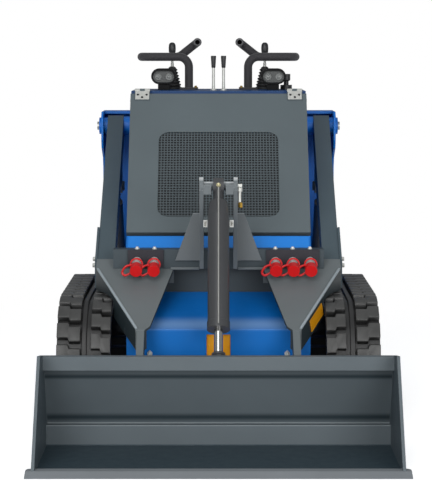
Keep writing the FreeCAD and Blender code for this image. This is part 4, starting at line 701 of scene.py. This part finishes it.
# ------------------------------------------------------------------ tilt cylinder
# Dark enamelled barrel on the bracket's pin, with a chromed rod, and a thin steel line that
# runs down its front to the rod-end port. A screwed gland seals the rod, and a grease nipple
# of plated brass stands on the barrel's eye.
barrel_coat = powder_coat("dark enamel on cylinder barrel", "#414244", "#77797b", rough=0.30, wear=0.25)
hard_chrome = zinc_like("hard chrome on a ground rod", "#d2d2d0", 0.06, 1500.0, 0.04)
dress(barrel_coat, "tilt_barrel")
dress(hard_chrome, "tilt_rod")
sideways = Vector((1, 0, 0))
down = Vector((0, -0.331, -0.565)).normalized()
outward = Vector((0, down.z, -down.y))
top_pin, rod_seat = Vector((0, -0.315, 0.815)), Vector((0, -0.621, 0.295))


def on_barrel(piece, along, off):
    """Stands a piece drawn upright at the origin along the barrel, at a distance off its axis."""
    turn = Matrix((sideways, down.cross(sideways), down)).transposed().to_4x4()
    piece.data.transform(Matrix.Translation(top_pin + down * along + outward * off) @ turn)


line_steel = zinc_like("plated steel tube", "#a9a9a5", 0.4, 300.0, 0.2, metallic=0.6)
barrel_radius, pipe_radius, pipe_from, pipe_long = 0.036, 0.0027, 0.022, 0.492
pipe = bar_along("tilt_line", 0, 0, 0, [(0, pipe_radius), (pipe_long, pipe_radius)], 16)
on_barrel(pipe, pipe_from, barrel_radius + pipe_radius)
fit(pipe, line_steel, "tilt_barrel")
seal = bar_along("rod_seal", 0, 0, 0, [(0, 0.0200), (0.003, 0.0225), (0.008, 0.0225), (0.011, 0.0200)], 28)
on_barrel(seal, (top_pin - rod_seat).length, 0)
fit(seal, barrel_coat, "tilt_rod")
pale_brass = zinc_like("pale plated brass", "#e6dcae", 0.35, 700.0, 0.1, metallic=0.4)
nipple = bar_along("grease_nipple", 0, 0, 0, [
    (0, 0.0070), (0.003, 0.0070), (0.004, 0.0050), (0.008, 0.0042), (0.0105, 0.0022)], 12)
nipple.data.transform(Matrix.Translation((0, -0.3415, 0.8215)) @ TO_FRONT)
fit(nipple, pale_brass, "tilt_barrel")


# ------------------------------------------------------------------ lift cylinders
# A cylinder on each side lifts the arms. It has the same dark enamelled barrel and chromed rod
# as the tilt cylinder, and is pinned between the tower's foot and the arm's lugs.
dress(barrel_coat, "lift_left_barrel", "lift_right_barrel")
dress(hard_chrome, "lift_left_rod", "lift_right_rod")


# ------------------------------------------------------------------ couplers and their caps
# Flat-faced quick couplers in plated steel, each under a red vinyl cap that hangs on its own
# moulded loop, so that it can't be lost.
plum_coat = powder_coat("dark coat on coupler plate", "#26242c", "#4c4a54", rough=0.5, wear=0.4)
red_vinyl = moulded("red moulded vinyl", "#c4060a", 0.33, pit=300.0, depth=0.05, paler_by=1.15)
dress(plum_coat, "coupler_plates")
bright_zinc = zinc_like("bright zinc on couplers", "#e6e6e2", 0.3, 300.0, 0.2, metallic=0.35)
dress(bright_zinc, "couplers")
dress(red_vinyl, "dust_caps")
stud_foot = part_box("cross_member")[1][2]
collar_radius, collar_round, loop_radius, loop_round, pull_reach = 0.0205, 0.0032, 0.0135, 0.0042, 0.016
for number, x in enumerate((-0.282, -0.222, 0.197, 0.257, 0.317)):
    put_down()
    bpy.ops.mesh.primitive_torus_add(major_radius=collar_radius, minor_radius=collar_round, major_segments=28,
                                     minor_segments=8, location=(x, -0.2585, 0.5405),
                                     rotation=(math.radians(75), 0, 0))
    collar = settle("cap_collar")
    put_down()
    bpy.ops.mesh.primitive_torus_add(major_radius=loop_radius, minor_radius=loop_round, major_segments=24,
                                     minor_segments=8, location=(x - 0.029, -0.279, 0.524),
                                     rotation=(math.radians(90), 0, 0))
    loop = settle("cap_loop")
    # The loop hangs a little out of round: drawn down on its left, and up to the collar on its right.
    bpy.ops.object.mode_set(mode="EDIT")
    bpy.ops.mesh.select_mode(type="FACE")
    choose(loop, lambda middle, normal: middle.x < x - 0.034 and middle.z < 0.520)
    bpy.ops.transform.translate(value=(-0.006, 0, -0.006), use_proportional_edit=True,
                                proportional_size=pull_reach)
    choose(loop, lambda middle, normal: middle.x > x - 0.022)
    bpy.ops.transform.translate(value=(0.006, 0.004, 0.004), use_proportional_edit=True,
                                proportional_size=pull_reach)
    bpy.ops.object.mode_set(mode="OBJECT")
    fit(join(f"cap_tether_{number}", collar, loop), red_vinyl, "boom")
    stud = bar_along(f"coupler_stud_{number}", x, -0.197, stud_foot, [
        (0, 0.0080), (0.003, 0.0080), (0.004, 0.0060), (0.007, 0.0055), (0.009, 0.0030)], 16)
    fit(stud, bright_zinc, "boom")


# ------------------------------------------------------------------ bucket
# Folded and welded plate in grey coat, with a thick cutting edge whose bevel is rubbed paler. Inside, the
# floor, what faces sideways, a band under the lip and the foot of the back wall are painted dark, as painted
# shade, and the ledge's front edge is a painted highlight. The carrier behind it is plain black plate on steel
# pins.
floor_shade_top, under_lip_shadow, wall_foot_shade, ledge_highlight, inner_half = 0.009, 0.240, 0.096, 0.0745, 0.553
bucket_coat = powder_coat("grey coat on bucket plate", "#5a6368", "#7b8488", rough=0.46, wear=0.6,
                          low=("#2d3c44", floor_shade_top), side_shade="#465056",
                          painted_light_bands=(("#1b2930", under_lip_shadow, 0.013, inner_half),
                                 ("#1b2930", wall_foot_shade, 0.019, inner_half),
                                 ("#a3abae", ledge_highlight, 0.004, inner_half)))
edge_coat = powder_coat("grey coat on the cutting edge", "#7b8084", "#9ea1a2", rough=0.46, wear=0.8)
dress(bucket_coat, "bucket_shell")
dress(edge_coat, "cutting_edge")
dress(black_coat, "bucket_carrier")
dress(ground_steel, "bucket_pins")


# ------------------------------------------------------------------ hood and grille
# A pressed sheet lid in grey coat, hung on two plated hinges. Its window is closed from
# behind by a sheet punched with square holes 11 mm apart, in a darker grey coat.
hood_coat = powder_coat("grey powder coat on pressed sheet", "#586266", "#7d868a", rough=0.46, wear=0.3)
pale_zinc = zinc_like("dull zinc-plated sheet", "#c2c3be", 0.5, 300.0, 0.2, metallic=0.1)
dress(hood_coat, "hood_panel")
dress(pale_zinc, "hood_hinges")
mesh_coat = powder_coat("grey coat on punched sheet", "#4b5458", "#6d757a", rough=0.5, wear=0.2)

# The lid's lean from upright, and the middle of its hinge line.
lean = math.radians(36.6)
hinge = Vector((0, 0.2759934, 1.1246215))
on_hood = Matrix.Translation(hinge) @ Matrix.Rotation(math.pi / 2 - lean, 4, "X")
window_down, window_tall, sheet_deep, screen_gap = 0.185, 0.361, 0.0045, 0.004
in_window = on_hood @ Matrix.Translation((0, -(window_down + window_tall / 2), -sheet_deep))
across_count, down_count, pitch, bar_half, sheet_thick = 40, 34, 0.0109, 0.0021, 0.002
put_down()
bpy.ops.mesh.primitive_grid_add(x_subdivisions=across_count, y_subdivisions=down_count, size=1)
bpy.ops.transform.resize(value=(across_count * pitch, down_count * pitch, 1), center_override=(0, 0, 0))
grille = settle("grille_sheet")
bpy.ops.object.mode_set(mode="EDIT")
bpy.ops.mesh.select_mode(type="FACE")
bpy.ops.mesh.select_all(action="SELECT")
bpy.ops.mesh.inset(thickness=bar_half, use_individual=True)
bpy.ops.mesh.delete(type="FACE")
bpy.ops.object.mode_set(mode="OBJECT")
modify(grille, "SOLIDIFY", thickness=sheet_thick, offset=0)
grille.data.transform(in_window)
fit(grille, mesh_coat, "hood")
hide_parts("hood_grille")

# A fine black screen lies behind the punched sheet.
half_wide, half_tall, half_thick = 0.218, 0.182, 0.0008
screen = block_at("grille_screen", (-half_wide, -half_tall, -half_thick), (half_wide, half_tall, half_thick))
soften(screen, 0.0004, 1)
screen.data.transform(in_window @ Matrix.Translation((0, 0, -screen_gap)))
fit(screen, cast_skin, "hood")

# Three dark screws with a socket in their heads hold each hinge's leaf on the lid.
leaf_top = 0.0040
SIDES = (("left", -1), ("right", 1))
for word, side in SIDES:
    leaf = block_at(f"hinge_leaf_{word}", (0.2555, -0.043, 0.0008), (0.3075, -0.004, 0.0042))
    soften(leaf, 0.0006, 1)
    leaf.data.transform(on_hood if side > 0 else on_hood @ MIRROR)
    if side < 0:
        leaf.data.flip_normals()
    fit(leaf, pale_zinc, "hood")
    for number, (x, from_hinge) in enumerate(((0.2655, 0.022), (0.2815, 0.033), (0.2975, 0.022))):
        head = bar_along(f"hinge_screw_{word}_{number}", 0, 0, 0, [
            (0, 0.0044), (0.0012, 0.0042), (0.0024, 0.0030), (0.0010, 0.0012)], 14)
        head.data.transform(on_hood @ Matrix.Translation((side * x, -from_hinge, leaf_top)))
        fit(head, black_coat, "hood")


# ------------------------------------------------------------------ hand rails
# Bent tube in a closed-cell foam grip, on a foot plate that two brass bolts hold to the deck.
# Its inner end is cut square, and shows the paler cut foam with the tube's dark mouth in it.
grip_foam = moulded("closed-cell foam grip", "#242326", 0.7, pit=700.0, depth=0.35, sheen=0.2, paler_by=1.6,
                    patch=30.0)
dress(grip_foam, "hand_rail_left", "hand_rail_right")
deck_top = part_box("top_deck")[1][2]
cut_foam = moulded("cut end of rubber grip", "#4c4c4e", 0.6, pit=700.0, depth=0.2, paler_by=1.3, patch=30.0)
# The bore is a shallow cup painted near black, as the painted shade deep inside the tube.
bore_painted_shade = moulded("unlit tube bore", "#020202", 0.9, pit=700.0, depth=0.1, paler_by=1.0, patch=30.0, shine=0.0)
brass_bolt = hex_bolt("foot_bolt", 0.009)
stand_up = Matrix.Rotation(-math.pi / 2, 4, "Y")
end_across, end_back, end_rise, foot_thick = 0.082, 0.640, 0.182, 0.008
for word, side in SIDES:
    at_end = Matrix.Translation((side * end_across, end_back, deck_top + end_rise)) @ TO_FRONT
    rim = bar_along(f"rail_rim_{word}", 0, 0, 0, [
        (0, 0.0158), (0.004, 0.0152), (0.0055, 0.0138), (0.0055, 0.0090), (0.0008, 0.0086)], 28)
    rim.data.transform(at_end)
    fit(rim, cut_foam, "chassis")
    bore = bar_along(f"rail_bore_{word}", 0, 0, 0, [(0.0012, 0.0088), (0.0020, 0.0084), (0.0016, 0.0060)], 28)
    bore.data.transform(at_end)
    fit(bore, bore_painted_shade, "chassis")
    for number, (x, y) in enumerate(((0.088, 0.534), (0.088, 0.586))):
        spot = Matrix.Translation((side * x, y, deck_top + foot_thick))
        fit(another(brass_bolt, f"foot_bolt_{word}_{number}", spot @ stand_up), brass, "chassis")
bpy.data.objects.remove(brass_bolt)


# ------------------------------------------------------------------ sticks
# A drive stick on each side of the deck: a ribbed rubber boot on a moulded collar, which keeps
# dirt off the joint below, then a plated steel shaft with a moulded nylon knob screwed on it.
black_nylon = moulded("black moulded nylon", "#1b1c1e", 0.42, pit=500.0, depth=0.12, paler_by=1.5, patch=40.0)
boot_rubber = moulded("black boot rubber", "#1c1c1d", 0.55, pit=400.0, depth=0.2, paler_by=1.7, patch=40.0)
stick_across, stick_back = 0.180, 0.630
pleats, pleat_tall, narrowing, pleat_deep = 6, 0.0115, 0.0028, 0.005
for word, side in SIDES:
    x, y = side * stick_across, stick_back
    rings = [(0, 0.036), (0.008, 0.036), (0.010, 0.033)]
    for pleat in range(pleats):
        high, wide = 0.012 + pleat * pleat_tall, 0.034 - pleat * narrowing
        rings += [(high, wide - pleat_deep), (high + 0.003, wide), (high + 0.0075, wide),
                  (high + 0.0105, wide - pleat_deep)]
    rings += [(0.084, 0.014), (0.088, 0.008)]
    boot = bar_along(f"stick_boot_{word}", x, y, deck_top, rings, 28)
    fit(boot, boot_rubber, "chassis")
    shaft = bar_along(f"stick_shaft_{word}", x, y, deck_top, [
        (0.086, 0.006), (0.100, 0.006), (0.102, 0.0048), (0.140, 0.0048)], 16)
    fit(shaft, zinc, "chassis")
    knob = bar_along(f"stick_knob_{word}", x, y, deck_top, [
        (0.128, 0.007), (0.134, 0.0085), (0.137, 0.0105), (0.146, 0.0135), (0.160, 0.0140), (0.172, 0.0128),
        (0.178, 0.0095), (0.181, 0.0045)], 24)
    fit(knob, black_nylon, "chassis")
    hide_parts(f"joystick_{word}")


# ------------------------------------------------------------------ work lamps
# Oval lamp bodies of dark moulded nylon, each screwed to the deck on a short foot. The grey
# front face holds two round lenses of frosted polycarbonate side by side.
lamp_black = moulded("dark nylon housing", "#0c0c0d", 0.5, pit=500.0, depth=0.1, paler_by=1.3, shine=0.12)
lens_face = moulded("grey polycarbonate face", "#454746", 0.3, pit=900.0, depth=0.05, paler_by=1.2)
lens_glass = moulded("frosted polycarbonate lens", "#757775", 0.2, pit=900.0, depth=0.1, paler_by=1.25)
dress(lamp_black, "lamp_left", "lamp_right")
lamp_rise, face_stretch, lens_offset = 0.050, 0.018, 0.020
for word in ("left", "right"):
    lamp_low, lamp_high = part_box(f"lamp_{word}")
    middle = (lamp_low[0] + lamp_high[0]) / 2
    at_face = Matrix.Translation((middle, lamp_low[1], deck_top + lamp_rise)) @ TO_FRONT
    face = bar_along(f"lamp_face_{word}", 0, 0, 0, [
        (0, 0.0225), (0.003, 0.0222), (0.0045, 0.0205), (0.0030, 0.0190)], 28)
    bpy.ops.object.mode_set(mode="EDIT")
    bpy.ops.mesh.select_mode(type="VERT")
    for sign in (-1, 1):
        bpy.ops.mesh.select_all(action="DESELECT")
        bpy.ops.object.mode_set(mode="OBJECT")
        for point in face.data.vertices:
            point.select = sign * point.co.x > 0.0005
        bpy.ops.object.mode_set(mode="EDIT")
        bpy.ops.transform.translate(value=(sign * face_stretch, 0, 0))
    bpy.ops.object.mode_set(mode="OBJECT")
    face.data.transform(at_face)
    fit(face, lens_face, "chassis")
    for number, offset in enumerate((-lens_offset, lens_offset)):
        lens = bar_along(f"lamp_lens_{word}_{number}", 0, 0, 0, [
            (0.002, 0.0130), (0.0052, 0.0128), (0.0060, 0.0112), (0.0046, 0.0100), (0.0046, 0.0062),
            (0.0066, 0.0048), (0.0072, 0.0026)], 28)
        lens.data.transform(at_face @ Matrix.Translation((offset, 0, 0)))
        fit(lens, lens_glass, "chassis")


# ------------------------------------------------------------------ levers and switch
# Two hydraulic levers of plated rod stand in turned collars in the middle of the deck, each
# under a tapered grip of moulded nylon. A black knob switch is let in at the right-hand edge.
lever_across, lever_back = 0.019, 0.420
for word, side in SIDES:
    x, y = side * lever_across, lever_back
    shaft = bar_along(f"lever_shaft_{word}", x, y, deck_top, [
        (0, 0.012), (0.004, 0.012), (0.006, 0.0062), (0.030, 0.0055), (0.090, 0.0055)], 16)
    fit(shaft, zinc, "chassis")
    grip = bar_along(f"lever_grip_{word}", x, y, deck_top, [
        (0.085, 0.0068), (0.087, 0.0076), (0.126, 0.0100), (0.129, 0.0096), (0.130, 0.0082)], 20)
    fit(grip, black_nylon, "chassis")
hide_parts("control_levers")
dress(black_nylon, "key_switch")


# ------------------------------------------------------------------ studio
# A matte white paper floor that fades to plain white away from the machine, in a softly lit
# room with four large lamps. The camera stands 6.3 m in front of the machine at the height of
# its controls, and looks a little down.
floor_size, fade_from, fade_to, look_down = 60, 1.1, 2.6, math.radians(6.426)
put_down()
bpy.ops.mesh.primitive_plane_add(size=floor_size, location=(0, 0, 0))
floor = settle("studio_floor")
paper, tree, place = new_material("matte white paper")
seen = add(tree, "ShaderNodeLightPath")
direct = add(tree, "ShaderNodeMath", {0: seen.outputs["Is Camera Ray"], 1: seen.outputs["Is Glossy Ray"]},
             operation="MAXIMUM").outputs[0]
direct = add(tree, "ShaderNodeMath", {0: direct, 1: seen.outputs["Is Transmission Ray"]},
             operation="MAXIMUM").outputs[0]
distance = add(tree, "ShaderNodeVectorMath", {0: place}, operation="LENGTH").outputs["Value"]
open_floor = add(tree, "ShaderNodeMapRange", {"Value": distance, "From Min": fade_from,
                                              "From Max": fade_to}).outputs[0]
matte = add(tree, "ShaderNodeBsdfDiffuse", {"Color": linear("#f6f6f6")}).outputs[0]
lift = add(tree, "ShaderNodeEmission", {"Color": (1, 1, 1, 1), "Strength": 0.60}).outputs[0]
near_floor = add(tree, "ShaderNodeAddShader", {0: matte, 1: lift}).outputs[0]
far_floor = add(tree, "ShaderNodeEmission", {"Color": (1, 1, 1, 1), "Strength": 1.0}).outputs[0]
shown = add(tree, "ShaderNodeMixShader", {0: open_floor, 1: near_floor, 2: far_floor}).outputs[0]
mixed = add(tree, "ShaderNodeMixShader", {0: direct, 1: matte, 2: shown}).outputs[0]
add(tree, "ShaderNodeOutputMaterial", {"Surface": mixed})
floor.data.materials.append(paper)

room = bpy.data.worlds.new("soft room")
bpy.context.scene.world = room
room.use_nodes = True
tree = room.node_tree
tree.nodes.clear()
seen = add(tree, "ShaderNodeLightPath")
direct = add(tree, "ShaderNodeMath", {0: seen.outputs["Is Camera Ray"],
                                      1: seen.outputs["Is Transmission Ray"]}, operation="MAXIMUM").outputs[0]
fill = add(tree, "ShaderNodeBackground", {"Color": linear("#eef2f6"), "Strength": 0.32}).outputs[0]
white = add(tree, "ShaderNodeBackground", {"Color": (1, 1, 1, 1), "Strength": 1.0}).outputs[0]
mixed = add(tree, "ShaderNodeMixShader", {0: direct, 1: fill, 2: white}).outputs[0]
add(tree, "ShaderNodeOutputWorld", {"Surface": mixed})

for name, spot, aim, size, power in (
        ("key_lamp", (-0.8, -4.4, 4.7), (0, -0.3, 0.6), 3.2, 75),
        ("left_lamp", (-2.6, -6.3, 2.2), (0, -0.3, 0.5), 3.0, 145),
        ("right_lamp", (2.8, -6.2, 2.0), (0, -0.3, 0.5), 3.0, 150),
        ("top_lamp", (0.3, 0.6, 5.0), (0, 0, 0.8), 3.5, 15)):
    lamp = bpy.data.lights.new(name, "AREA")
    lamp.energy = power
    lamp.size = size
    held = bpy.data.objects.new(name, lamp)
    bpy.context.scene.collection.objects.link(held)
    held.location = spot
    held.rotation_euler = (Vector(aim) - Vector(spot)).to_track_quat("-Z", "Y").to_euler()

camera = bpy.data.objects.new("camera", bpy.data.cameras.new("camera"))
bpy.context.scene.collection.objects.link(camera)
camera.data.lens = 127.07
camera.data.sensor_width = 36
camera.data.shift_x = -0.005
camera.location = (0, -6.280, 1.269)
camera.rotation_euler = (math.pi / 2 - look_down, 0, 0)
bpy.context.scene.camera = camera
bpy.context.scene.view_settings.view_transform = "Standard"
